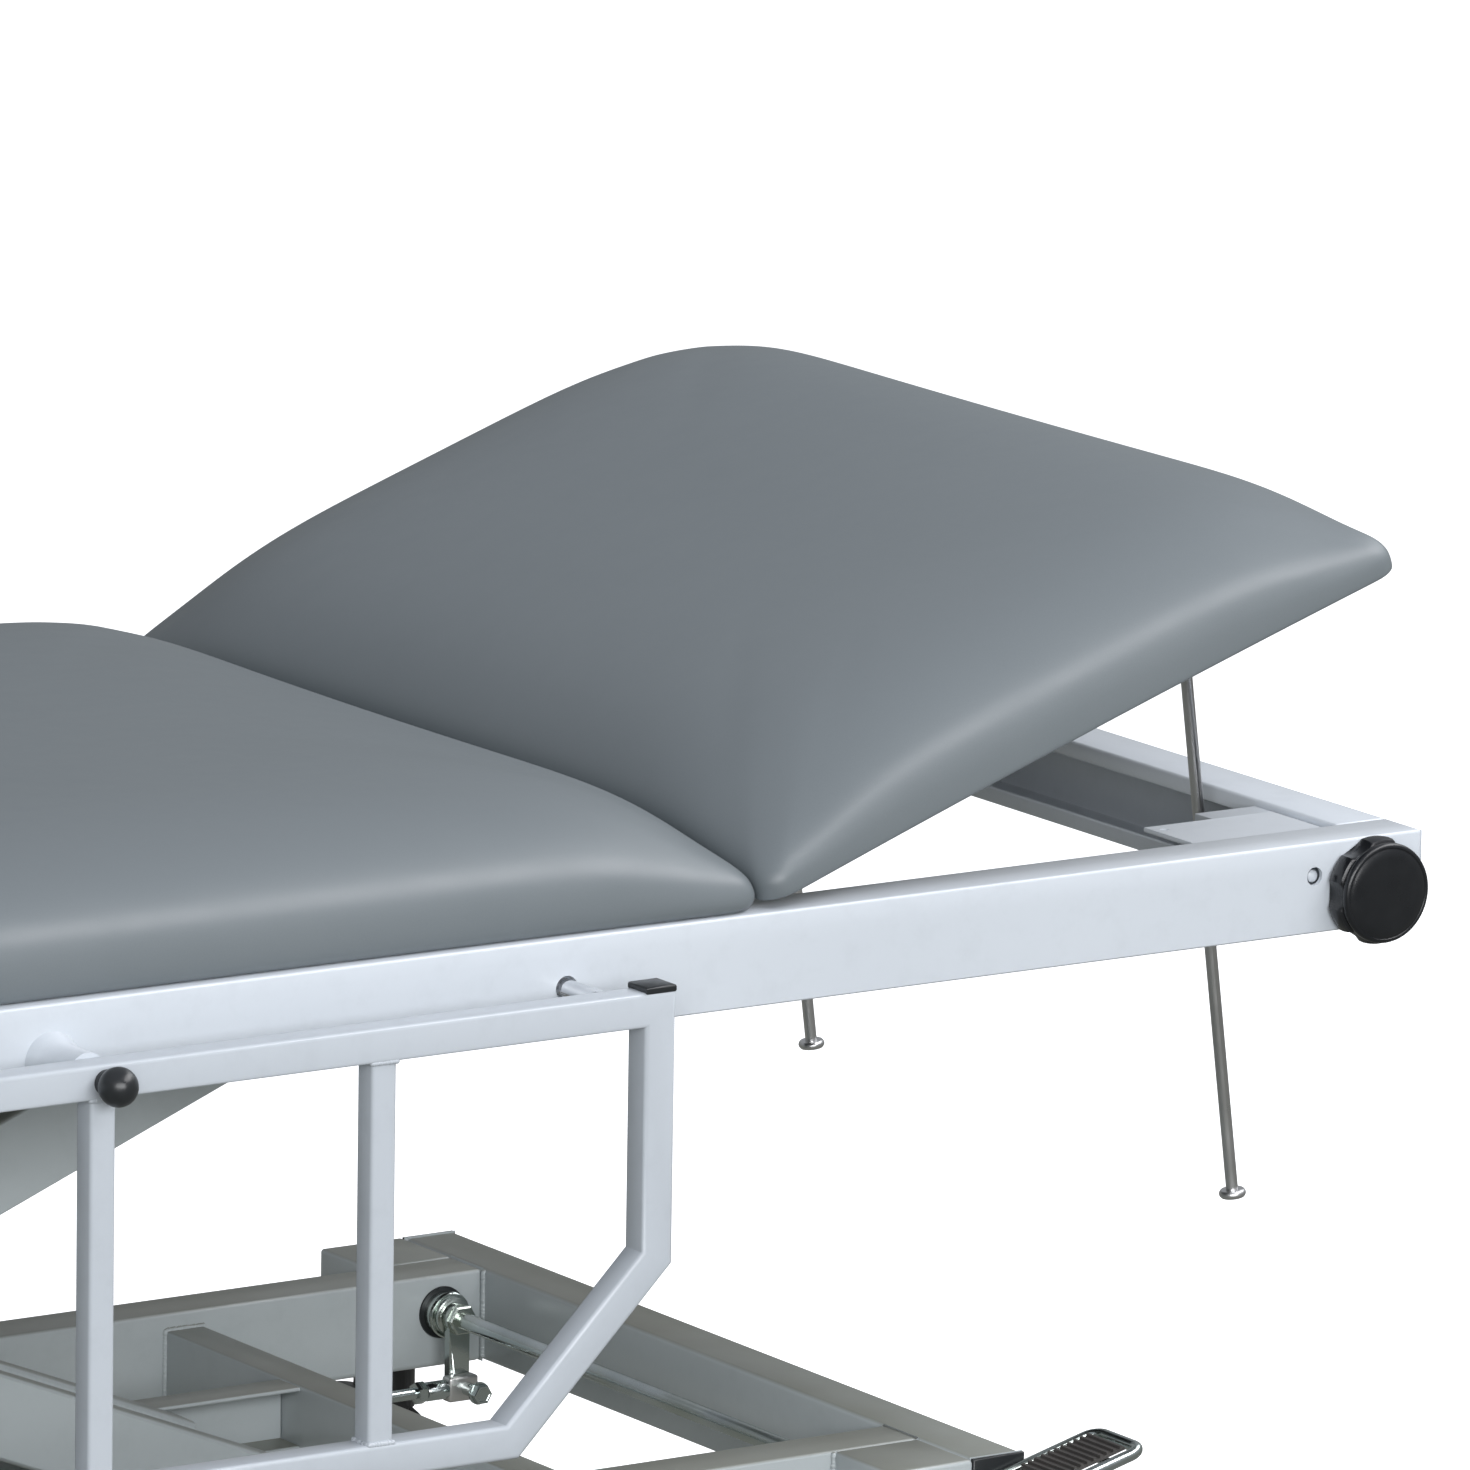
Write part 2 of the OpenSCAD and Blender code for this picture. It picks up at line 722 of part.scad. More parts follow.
module side_rail(side) {
    screw_gap = 1;
    color([0.82, 0.85, 0.88]) on_side(side) difference() {
        along_x(-frame_x, frame_x) translate([-frame_y, frame_bottom])
            lipped_profile(rail_w, rail_h, rail_wall, rail_lip);
        pin_y(knob_x, knob_z, -frame_y - cut, -frame_y + rail_wall + cut, knob_screw_d + screw_gap);
        pin_y(sight_hole_x, sight_hole_z, -frame_y - cut, -frame_y + rail_wall + cut, sight_hole_d);
        for (e = [-1, 1])
            pin_y(e * buffer_x, buffer_z, -frame_y - cut, -frame_y + rail_wall + cut, buffer_hole_d);
    }
}

module end_rails() {
    color([0.82, 0.85, 0.88]) for (e = [0, 180]) rotate([0, 0, e])
        translate([frame_x, -rail_inner_y, frame_bottom]) rotate([90, 0, 180])
            linear_extrude(2 * rail_inner_y) lipped_profile(rail_w, rail_h, rail_wall, rail_lip);
}

module top_cross_members() {
    z0 = upper_z - track_h / 2 - 2 * track_wall;
    z1 = frame_top - cross_inset;
    pivot_x1 = lower_x - inner_arm_h / 2 - pin_out;
    color([0.78, 0.81, 0.84]) {
        for (x = [pivot_x1 - cross_w, track_x0 - cross_w, track_x1])
            cross_tube(x, rail_inner_y, z0, z1);
        for (y = [inner_y0 - side_gap - lug_t, inner_y1 + side_gap]) for (s = [-1, 1]) on_side(s) {
            box(pivot_x1 - cut, lower_x, -y - lug_t, -y, upper_z - lug_d / 2, upper_z + lug_d / 2);
            pin_y(lower_x, upper_z, -y - lug_t, -y, lug_d);
        }
        pin_y(lower_x, upper_z, -inner_y1 - side_gap - lug_t - pin_out,
            inner_y1 + side_gap + lug_t + pin_out, pivot_d);
    }
}

module upper_tracks() {
    color([0.7, 0.73, 0.75]) for (s = [-1, 1]) on_side(s) track(upper_track_y, upper_z);
}

// Block that carries the trunnion and the knob's screw, with the cover plate at the frame's top
module rod_clamps() {
    block_z0 = frame_bottom - side_gap;
    block_z1 = frame_top - plate_t - cut;
    mouth = 1.5;
    tongue = 10;
    plate_hole_d = 6;
    plate_hole_in = 12;
    plate_x1 = clamp_x1 - plate_back;
    color([0.8, 0.83, 0.86]) for (s = [-1, 1]) on_side(s) {
        difference() {
            union() {
                box(clamp_x0, clamp_x1, -rail_inner_y, -clamp_y0, block_z0, block_z1);
                box(clamp_x1 - cut, knob_x + tongue, -rail_inner_y + mouth, -clamp_y0,
                    frame_bottom + rail_lip + mouth, frame_top - rail_lip - mouth);
            }
            pin_y(trunnion_x, trunnion_z, -rail_inner_y + trunnion_bore, 0, trunnion_pin_d + 2 * run_gap);
            pin_y(knob_x, knob_z, -frame_w, 0, knob_screw_d + 2 * run_gap);
        }
        difference() {
            box(plate_x1 - plate_l, plate_x1, -rail_inner_y, -rail_inner_y + plate_w,
                block_z1, block_z1 + plate_t);
            translate([plate_x1 - plate_l + plate_back, plate_w - rail_inner_y - plate_hole_in,
                block_z1 - cut]) cylinder(h = plate_t + 2 * cut, d = plate_hole_d);
        }
    }
}

module guard_bosses() {
    dome_stretch = 1.5;
    color([0.82, 0.85, 0.88]) for (s = [-1, 1]) on_side(s) difference() {
        translate([0, -frame_y, guard_z]) rotate([90, 0, 0]) rotate_extrude() {
            square([boss_nose_d / 2, guard_gap - seat_gap]);
            intersection() {
                translate([0, -boss_d / 4]) scale([1, dome_stretch]) circle(d = boss_d);
                square([boss_d / 2, guard_gap - boss_round]);
            }
        }
        pin_y(0, guard_z, -guard_front, -frame_y + cut, guard_stub_d + 2 * run_gap);
    }
}

module buffer_pins() {
    color([0.8, 0.81, 0.82]) for (e = [-1, 1], s = [-1, 1]) on_side(s) {
        pin_y(e * buffer_x, buffer_z, -guard_back + seat_gap, -frame_y + rail_wall, buffer_d);
        pin_y(e * buffer_x, buffer_z, -frame_y + rail_wall, -frame_y + rail_wall + buffer_flange_t,
            buffer_flange_d);
    }
}

// Fixed knuckles with the hinge pins
module head_hinges() {
    leaf_share = 0.75;
    pin_share = 1.5;
    color([0.6, 0.62, 0.63]) for (y = hinge_places) {
        difference() {
            along_y(y - knuckle_w / 2, y + knuckle_w / 2) {
                translate([hinge_x, hinge_z]) circle(d = knuckle_d);
                translate([hinge_x - hinge_leaf, hinge_z - knuckle_d / 2])
                    square([hinge_leaf, knuckle_d * leaf_share]);
            }
            pin_y(hinge_x, hinge_z, y - knuckle_w, y + knuckle_w, hinge_pin_d + 2 * run_gap);
        }
        pin_y(hinge_x, hinge_z, y - pin_share * knuckle_w, y + pin_share * knuckle_w, hinge_pin_d);
    }
}

module board(x0, x1) {
    translate([0, 0, frame_top + seat_gap]) linear_extrude(board_t) difference() {
        translate([x0, -cushion_y + board_inset]) square([x1 - x0, 2 * (cushion_y - board_inset)]);
        for (x = [x0, x1], y = [-1, 1])
            translate([x, y * (cushion_y - board_inset)]) rotate([0, 0, 45])
                square(cushion_corner, center = true);
    }
}

module seat_board() {
    color([0.2, 0.21, 0.22]) board(-cushion_end_x + board_inset, seat_end_x - board_inset);
}

// Point of a cushion's outline at a given inset, with the sides drawn in between the corners
function corner_point(half_l, half_w, r, i, k, steps) =
    let (a = 90 * i + 90 * k / steps,
         cx = (i == 0 || i == 3) ? half_l - r : -half_l + r,
         cy = (i < 2) ? half_w - r : -half_w + r)
    [cx + r * cos(a), cy + r * sin(a)];

function side_points(p, q, draw, n) = [for (k = [1 : n])
    let (t = k / (n + 1), d = draw * 4 * t * (1 - t), len = norm(q - p))
    p + (q - p) * t + [-(q - p)[1], (q - p)[0]] / len * d];

function outline(half_l, half_w, r, draw, steps, n) = [for (i = [0 : 3])
    let (p = corner_point(half_l, half_w, r, i, steps, steps),
         q = corner_point(half_l, half_w, r, (i + 1) % 4, 0, steps))
    each concat([for (k = [0 : steps]) corner_point(half_l, half_w, r, i, k, steps)],
        side_points(p, q, draw, n))];

// Distance from a point to the nearest corner of a rectangle about the origin
function corner_distance(p, half_l, half_w) = norm([half_l - abs(p[0]), half_w - abs(p[1])]);

// Share of the full height that a point keeps, lower where the cover is drawn tight at the corners
function dip(p, half_l, half_w) =
    1 - corner_dip_share * exp(-pow(corner_distance(p, half_l, half_w) / corner_dip_reach, 2));

// Crowned cushion with soft edges, standing on its rim, with a pocket in its lower face for the board
module cushion(x0, x1) {
    steps = 4;
    n = 7;
    half_l = (x1 - x0) / 2;
    rim = board_inset - seat_gap;
    height = cushion_t + pocket_h;
    pocket = [for (z = [pocket_h, 0])
        [for (p = outline(half_l - rim, cushion_y - rim, cushion_corner / 2, 0, steps, n)) [p[0], p[1], z]]];
    crown = [for (s = crown_shares)
        let (inset = s[0] * crown_reach, r = cushion_corner + inset * corner_growth_share)
        [for (p = outline(half_l - inset, cushion_y - inset, r, side_draw, steps, n))
            [p[0], p[1], s[1] * height * dip(p, half_l, cushion_y)]]];
    rings = concat(pocket, crown);
    m = len(rings[0]);
    count = len(rings);
    points = concat([for (r = rings) each r], [[0, 0, pocket_h], [0, 0, height]]);
    walls = [for (j = [0 : count - 2], i = [0 : m - 1])
        let (a = j * m + i, b = j * m + (i + 1) % m, c = b + m, d = a + m) each [[a, c, b], [a, d, c]]];
    lower = [for (i = [0 : m - 1]) [m * count, i, (i + 1) % m]];
    upper = [for (i = [0 : m - 1]) [m * count + 1, (count - 1) * m + (i + 1) % m, (count - 1) * m + i]];
    translate([(x0 + x1) / 2, 0, cushion_z]) polyhedron(points, concat(walls, lower, upper));
}

module seat_cushion() {
    color([0.5, 0.53, 0.55]) cushion(-cushion_end_x, seat_end_x);
}

// Head section

module head_board() {
    leaf_l = 46;
    half = knuckle_w / 2;
    color([0.2, 0.21, 0.22]) head_pose() {
        board(head_start_x + board_inset, cushion_end_x - board_inset);
        for (y = hinge_places, s = [-1, 1]) {
            y0 = s > 0 ? y + half + seat_gap : y - 2 * half - seat_gap;
            difference() {
                union() {
                    pin_y(hinge_x, hinge_z, y0, y0 + half, knuckle_d);
                    box(hinge_x, hinge_x + leaf_l, y0, y0 + half, hinge_z, frame_top + seat_gap);
                }
                pin_y(hinge_x, hinge_z, y0 - cut, y0 + half + cut, hinge_pin_d + 2 * run_gap);
            }
        }
    }
}

// Lugs under the head board with the pins from which the support rods hang
module head_rod_lugs() {
    x = hinge_x + rod_reach;
    y0 = rod_eye_t / 2 + rod_lug_gap;
    color([0.3, 0.31, 0.33]) head_pose() for (s = [-1, 1]) on_side(s) {
        for (y = [-rod_y - y0 - rod_lug_t, -rod_y + y0]) {
            pin_y(x, hinge_z, y, y + rod_lug_t, 2 * rod_lug_r);
            box(x - rod_lug_r, x + rod_lug_r, y, y + rod_lug_t, hinge_z, frame_top + seat_gap);
        }
        pin_y(x, hinge_z, -rod_y - y0 - rod_lug_t - side_gap, -rod_y + y0 + rod_lug_t + side_gap, rod_d);
    }
}

module head_cushion() {
    color([0.5, 0.53, 0.55]) head_pose() cushion(head_start_x, cushion_end_x);
}

// Rod drawn hanging from its eye and leant towards its trunnion
module support_rod(side) {
    color([0.3, 0.3, 0.31]) on_side(side) translate([rod_top_x, -rod_y, rod_top_z])
        rotate([0, -rod_lean, 0]) difference() {
            union() {
                pin_y(0, 0, -rod_eye_t / 2, rod_eye_t / 2, rod_eye_d);
                translate([0, 0, -rod_l]) cylinder(h = rod_l, d = rod_d);
                translate([0, 0, -rod_l - rod_foot_t / 2]) rotate_extrude() intersection() {
                    translate([0, rod_foot_t / 2])
                        scale([1, 2 * rod_foot_t / rod_foot_d]) circle(d = rod_foot_d);
                    square([rod_foot_d, rod_foot_t]);
                }
            }
            pin_y(0, 0, -rod_eye_t, rod_eye_t, rod_d + 2 * run_gap);
        }
}

module trunnion(side) {
    pin_end = cut + trunnion_bore;
    color([0.35, 0.36, 0.37]) on_side(side) translate([trunnion_x, -rod_y, trunnion_z])
        rotate([0, -rod_lean, 0]) difference() {
            union() {
                pin_y(0, 0, -trunnion_w / 2, trunnion_w / 2, trunnion_d);
                pin_y(0, 0, -rail_inner_y + rod_y + pin_end, -trunnion_w / 2, trunnion_pin_d);
            }
            translate([0, 0, -trunnion_d]) cylinder(h = 2 * trunnion_d, d = rod_d + 2 * run_gap);
        }
}

// Clamping knob with a domed face and hollows round its rim
module star_knob(side) {
    lobes = 6;
    scallop_d = 30;
    scallop_out = 12;
    dome = 5;
    back_round = dome / 2;
    screw_l = 96;
    color([0.1, 0.11, 0.12]) on_side(side) translate([knob_x, 0, knob_z]) {
        translate([0, -frame_y - seat_gap, 0]) rotate([90, 0, 0]) difference() {
            rotate_extrude($fn = 72) {
                square([knob_d / 2 - dome, knob_t]);
                translate([0, back_round]) square([knob_d / 2, knob_t - dome - back_round]);
                translate([knob_d / 2 - dome, knob_t - dome]) circle(r = dome);
            }
            for (i = [0 : lobes - 1]) rotate([0, 0, (i + 0.5) * 360 / lobes])
                translate([knob_d / 2 + scallop_out, 0, -cut]) cylinder(h = knob_t + 2 * cut, d = scallop_d);
        }
        pin_y(0, 0, -frame_y - seat_gap - cut, -frame_y + screw_l, knob_screw_d);
    }
}

// Side guards, drawn lowered

module guard_outline(inset) {
    corner = inset * tan(22.5);
    x1 = guard_half_l - inset;
    xs = guard_half_l - guard_slope - corner;
    z1 = guard_top - inset;
    z0 = guard_top - guard_h + inset;
    zs = guard_top - guard_h + guard_slope + corner;
    polygon([[-x1, z1], [-x1, zs], [-xs, z0], [xs, z0], [x1, zs], [x1, z1]]);
}

module guard(side) {
    bar_back = guard_mid - guard_bar / 2;
    color([0.82, 0.85, 0.88]) on_side(side) difference() {
        union() {
            along_y(-guard_front, -guard_back) difference() {
                guard_outline(0);
                guard_outline(guard_tube);
            }
            for (x = [-guard_bar_x, 0, guard_bar_x])
                box(x - guard_bar / 2, x + guard_bar / 2, -bar_back - guard_bar, -bar_back,
                    guard_top - guard_h + guard_tube - cut, guard_top - guard_tube + cut);
            pin_y(0, guard_z, -guard_back - cut, -frame_y - side_gap, guard_stub_d);
        }
        pin_y(0, guard_z, -guard_front - cut, -frame_y, plunger_d + 2 * run_gap);
    }
}

module guard_caps(side) {
    color([0.09, 0.1, 0.11]) on_side(side) for (e = [-1, 1])
        translate([e * (guard_half_l - guard_tube / 2), -guard_mid, guard_top + cap_t / 2])
            cube([guard_tube + 2 * cap_over, guard_tube + 2 * cap_over, cap_t], center = true);
}

module ball_knob(side) {
    color([0.07, 0.08, 0.09]) on_side(side) {
        pin_y(0, guard_z, -guard_front - ball_out, -frame_y - side_gap - cut, plunger_d);
        pin_y(0, guard_z, -guard_front - ball_collar_t, -guard_front - seat_gap, ball_collar_d);
        translate([0, -guard_front - ball_out, guard_z]) sphere(d = ball_d);
    }
}

// Central brake

// Bar across the base with the crank on its far end, from which the link hangs
module brake_bar(e, y0) {
    end_gap = 8;
    x = e * brake_x;
    z = brake_z - crank_l;
    pin_y(x, brake_z, y0, base_out_y - end_gap, brake_bar_d);
    pin_y(x, brake_z, crank_y, crank_y + crank_t, crank_boss_d);
    box(x - crank_w / 2, x + crank_w / 2, crank_y, crank_y + crank_t, z, brake_z);
    pin_y(x, z, crank_y, crank_y + crank_t, crank_w);
    pin_y(x, z, link_y - link_eye_t / 2 - side_gap, crank_y + cut, brake_link_d);
}

// Bent bar round the pedal's tread, drawn from the brake bar outwards
module pedal_loop() {
    arms = [pedal_y0 + pedal_bar_d / 2, pedal_y1 - pedal_bar_d / 2];
    bend_x = pedal_reach - pedal_bend;
    at_angle(brake_x, brake_z, pedal_angle) {
        for (y = arms)
            translate([0, -y, 0]) rotate([0, 90, 0]) cylinder(h = bend_x, d = pedal_bar_d);
        translate([bend_x, -arms[0] - pedal_bend, 0])
            rotate_extrude(angle = 90) translate([pedal_bend, 0]) circle(d = pedal_bar_d);
        translate([bend_x, -arms[1] + pedal_bend, 0]) rotate([0, 0, -90])
            rotate_extrude(angle = 90) translate([pedal_bend, 0]) circle(d = pedal_bar_d);
        pin_y(pedal_reach, 0, -arms[1] + pedal_bend, -arms[0] - pedal_bend, pedal_bar_d);
        for (x = [pedal_reach - tread_back - tread_l / 4, pedal_reach - tread_back - 3 * tread_l / 4])
            pin_y(x, -tread_drop, -arms[1], -arms[0], tread_cross_d);
    }
}

module brake_bar_head() {
    color([0.62, 0.66, 0.65]) {
        brake_bar(1, -pedal_y1 - side_gap);
        pedal_loop();
    }
}

module brake_bar_foot() {
    end_gap = 8;
    color([0.62, 0.66, 0.65]) brake_bar(-1, -base_out_y + end_gap);
}

module brake_link() {
    z = brake_z - crank_l;
    color([0.62, 0.66, 0.65]) difference() {
        union() {
            translate([-brake_x, link_y, z]) rotate([0, 90, 0]) cylinder(h = 2 * brake_x, d = brake_link_d);
            for (e = [-1, 1])
                pin_y(e * brake_x, z, link_y - link_eye_t / 2, link_y + link_eye_t / 2, link_eye_d);
        }
        for (e = [-1, 1]) pin_y(e * brake_x, z, 0, base_w, brake_link_d + 2 * run_gap);
    }
}

// Ribbed tread that lies on the loop's cross bars
module brake_pedal() {
    ribs = 7;
    rib_w = 4;
    rib_h = 3;
    rib_inset = 2;
    x0 = pedal_reach - tread_back - tread_l;
    y0 = pedal_y0 + pedal_bar_d + cut / 2;
    y1 = pedal_y1 - pedal_bar_d - cut / 2;
    z0 = tread_cross_d / 2 - tread_drop;
    pitch = tread_l / ribs;
    color([0.12, 0.13, 0.14]) at_angle(brake_x, brake_z, pedal_angle) {
        box(x0, x0 + tread_l, -y1, -y0, z0, z0 + tread_t);
        for (i = [0 : ribs - 1])
            box(x0 + (i + 0.5) * pitch - rib_w / 2, x0 + (i + 0.5) * pitch + rib_w / 2,
                -y1 + rib_inset, -y0 - rib_inset, z0 + tread_t - cut, z0 + tread_t + rib_h);
    }
}

base_rail(near);  // base_rail_near
base_rail(far);  // base_rail_far
base_end_rails();
base_cross_members();
castor_housings();
base_end_plugs();
lower_tracks();
brake_collars();
pump_cylinder();
castor_fork(1);  // castor_fork_1
castor_fork(2);  // castor_fork_2
castor_fork(3);  // castor_fork_3
castor_fork(4);  // castor_fork_4
castor_tyre(1);  // castor_tyre_1
castor_tyre(2);  // castor_tyre_2
castor_tyre(3);  // castor_tyre_3
castor_tyre(4);  // castor_tyre_4
castor_hub(1);  // castor_hub_1
castor_hub(2);  // castor_hub_2
castor_hub(3);  // castor_hub_3
castor_hub(4);  // castor_hub_4
outer_arms();
outer_cross_tube();
centre_shaft();
roller_axle(upper_track_y, upper_z);  // upper_roller_axle
roller_axle(lower_track_y, lower_z);  // lower_roller_axle
inner_arms();
inner_cross_tubes();
ram_barrel();
ram_rod();
side_rail(near);  // side_rail_near
side_rail(far);  // side_rail_far
end_rails();
top_cross_members();
upper_tracks();
rod_clamps();
guard_bosses();
buffer_pins();
head_hinges();
seat_board();
seat_cushion();
head_board();
head_rod_lugs();
head_cushion();
support_rod(near);  // support_rod_near
support_rod(far);  // support_rod_far
trunnion(near);  // trunnion_near
trunnion(far);  // trunnion_far
star_knob(near);  // star_knob_near
star_knob(far);  // star_knob_far
guard(near);  // guard_near
guard(far);  // guard_far
guard_caps(near);  // guard_caps_near
guard_caps(far);  // guard_caps_far
ball_knob(near);  // ball_knob_near
ball_knob(far);  // ball_knob_far
brake_bar_head();
brake_bar_foot();
brake_link();
brake_pedal();
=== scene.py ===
import bpy
import bmesh
import json
import math
from mathutils import Matrix, Vector


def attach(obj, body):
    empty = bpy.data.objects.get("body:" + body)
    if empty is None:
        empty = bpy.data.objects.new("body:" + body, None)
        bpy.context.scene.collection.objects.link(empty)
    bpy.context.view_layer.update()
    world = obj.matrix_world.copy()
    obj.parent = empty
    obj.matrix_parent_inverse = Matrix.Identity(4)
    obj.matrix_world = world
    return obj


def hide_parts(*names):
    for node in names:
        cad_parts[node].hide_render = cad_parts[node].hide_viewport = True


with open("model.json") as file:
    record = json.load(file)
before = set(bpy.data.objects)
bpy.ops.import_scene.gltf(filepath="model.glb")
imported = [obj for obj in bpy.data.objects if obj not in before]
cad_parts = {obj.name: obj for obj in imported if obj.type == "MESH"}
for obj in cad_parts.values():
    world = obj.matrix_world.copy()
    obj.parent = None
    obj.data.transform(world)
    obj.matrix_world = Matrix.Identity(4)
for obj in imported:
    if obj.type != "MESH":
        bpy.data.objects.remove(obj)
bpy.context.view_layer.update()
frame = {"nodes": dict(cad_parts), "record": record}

scene = bpy.context.scene
scene.view_settings.view_transform = "Standard"
BODY_OF = {n: b for b, nodes in frame["record"]["behaviour"]["bodies"].items() for n in nodes}
SLOT_OF = {s["node"]: s["material_slot"] for s in frame["record"]["subparts"]}

# Sizes that several pieces share, in metres and degrees
SIDES = {"near": -1.0, "far": 1.0}
FRAME_TOP = 0.615
BOARD_UNDERSIDE = 0.61506
COVER_ROOT = 0.61528
HINGE_X, HINGE_Z, HEAD_TILT = 0.52, 0.601, 19.4
CUSHION_HALF_WIDTH, CROWN = 0.401, 0.076
GUARD_Y, GUARD_PIVOT_Z = 0.453, 0.579
GUARD_BARS = (-0.201, 0.0, 0.201)
BRAKE_X, BRAKE_Z = 0.691, 0.196
LINK_Y, LINK_Z = 0.2155, 0.15
AXLE_Z = 0.0625
CROSS_TUBES, TUBE_WIDTH = (0.0809, 0.473), 0.03
SHARP_FROM = 32


# Camera, fitted to the straight edges of the photograph

def make_camera():
    target, distance = Vector((0.5123, -0.375, 0.7255)), 9.288
    a, e, roll = math.radians(-33.5), math.radians(11.8), math.radians(0.9)
    back = Vector((math.sin(a) * math.cos(e), -math.cos(a) * math.cos(e), math.sin(e)))
    right = Vector((math.cos(a), math.sin(a), 0.0))
    up = back.cross(right)
    x = right * math.cos(roll) + up * math.sin(roll)
    y = up * math.cos(roll) - right * math.sin(roll)
    data = bpy.data.cameras.new("camera")
    data.sensor_width = 36.0
    data.lens = 362.4
    data.clip_start, data.clip_end = 0.1, 60.0
    camera = bpy.data.objects.new("camera", data)
    turn = Matrix((x, y, back)).transposed().to_4x4()
    camera.matrix_world = Matrix.Translation(target + back * distance) @ turn
    scene.collection.objects.link(camera)
    scene.camera = camera


# Light and floor

def soft_light(name, where, aim, size, power, colour):
    data = bpy.data.lights.new(name, "AREA")
    data.shape = "RECTANGLE"
    data.size, data.size_y = size
    data.energy = power
    data.color = colour
    lamp = bpy.data.objects.new(name, data)
    lamp.location = where
    lamp.rotation_euler = (Vector(aim) - Vector(where)).to_track_quat("-Z", "Y").to_euler()
    scene.collection.objects.link(lamp)


def make_studio():
    world = bpy.data.worlds.new("studio")
    world.use_nodes = True
    nodes, links = world.node_tree.nodes, world.node_tree.links
    height = nodes.new("ShaderNodeSeparateXYZ")
    links.new(nodes.new("ShaderNodeTexCoord").outputs["Generated"], height.inputs[0])
    fade = nodes.new("ShaderNodeMapRange")
    fade.interpolation_type = "SMOOTHSTEP"
    fade.inputs["From Min"].default_value, fade.inputs["From Max"].default_value = -0.2, 0.85
    links.new(height.outputs["Z"], fade.inputs["Value"])
    sky = nodes.new("ShaderNodeMix")
    sky.data_type = "RGBA"
    sky.inputs[6].default_value = (0.235, 0.24, 0.225, 1.0)
    sky.inputs[7].default_value = (0.43, 0.45, 0.49, 1.0)
    links.new(fade.outputs["Result"], sky.inputs[0])
    links.new(sky.outputs[2], nodes["Background"].inputs["Color"])
    scene.world = world
    soft_light("near_softbox", (-1.2, -4.6, 2.0), (0.4, -0.3, 0.5), (4.5, 1.8), 205, (0.97, 0.98, 1.0))
    soft_light("overhead_softbox", (2.0, -1.45, 2.7), (0.5, -0.2, 0.6), (3.2, 1.1), 66, (1.0, 0.985, 1.0))
    soft_light("head_fill", (3.6, 0.6, 2.8), (0.6, 0.1, 0.6), (1.6, 1.6), 22, (0.95, 0.98, 1.0))
    mesh = bpy.data.meshes.new("floor")
    reach, level = 30.0, -0.001
    corners = [(-reach, -reach, level), (reach, -reach, level), (reach, reach, level), (-reach, reach, level)]
    mesh.from_pydata(corners, [], [(0, 1, 2, 3)])
    floor = bpy.data.objects.new("floor", mesh)
    scene.collection.objects.link(floor)
    floor.visible_diffuse = floor.visible_glossy = False
    pale = bpy.data.materials.new("pale_floor")
    pale.use_nodes = True
    bsdf = pale.node_tree.nodes["Principled BSDF"]
    bsdf.inputs["Base Color"].default_value = (0.8, 0.81, 0.82, 1.0)
    bsdf.inputs["Roughness"].default_value = 0.9
    bsdf.inputs["Emission Color"].default_value = (1.0, 1.0, 1.0, 1.0)
    bsdf.inputs["Emission Strength"].default_value = 0.82
    mesh.materials.append(pale)


# Materials: every finish blends two tones by a noise or a wave, with its own roughness and grain

class Finish:
    def __init__(self, name, metallic=0.0, **sockets):
        self.material = bpy.data.materials.new(name)
        self.material.use_nodes = True
        self.tree = self.material.node_tree
        self.bsdf = self.tree.nodes["Principled BSDF"]
        self.bsdf.inputs["Metallic"].default_value = metallic
        for socket, value in sockets.items():
            self.bsdf.inputs[socket.replace("_", " ")].default_value = value
        self.place = self.node("ShaderNodeTexCoord").outputs["Object"]
        self.height = None

    def node(self, kind, **inputs):
        n = self.tree.nodes.new(kind)
        for socket, value in inputs.items():
            self.feed(value, n.inputs[socket.replace("_", " ")])
        return n

    def feed(self, value, socket):
        if isinstance(value, bpy.types.NodeSocket):
            self.tree.links.new(value, socket)
        else:
            socket.default_value = value

    def noise(self, scale, detail=3.0, roughness=0.5, stretch=(1.0, 1.0, 1.0), distortion=0.0):
        mapped = self.node("ShaderNodeMapping", Vector=self.place, Scale=stretch).outputs["Vector"]
        return self.node("ShaderNodeTexNoise", Vector=mapped, Scale=scale, Detail=detail,
                         Roughness=roughness, Distortion=distortion).outputs["Fac"]

    def ramp(self, factor, low, high, start=0.3, end=0.7):
        n = self.node("ShaderNodeMapRange", Value=factor)
        for socket, value in (("From Min", start), ("From Max", end), ("To Min", low), ("To Max", high)):
            n.inputs[socket].default_value = value
        return n.outputs["Result"]

    def mix(self, factor, a, b):
        n = self.tree.nodes.new("ShaderNodeMix")
        n.data_type = "RGBA"
        self.feed(factor, n.inputs[0])
        for value, socket in ((a, n.inputs[6]), (b, n.inputs[7])):
            self.feed(value if isinstance(value, bpy.types.NodeSocket) else (*value, 1.0), socket)
        return n.outputs[2]

    def add_grain(self, height, distance, strength):
        bump = self.node("ShaderNodeBump", Height=height, Strength=strength, Distance=distance)
        if self.height is not None:
            self.tree.links.new(self.height, bump.inputs["Normal"])
        self.height = bump.outputs["Normal"]
        self.tree.links.new(self.height, self.bsdf.inputs["Normal"])

    def colour(self, socket):
        self.feed(socket, self.bsdf.inputs["Base Color"])

    def roughness(self, socket):
        self.feed(socket, self.bsdf.inputs["Roughness"])


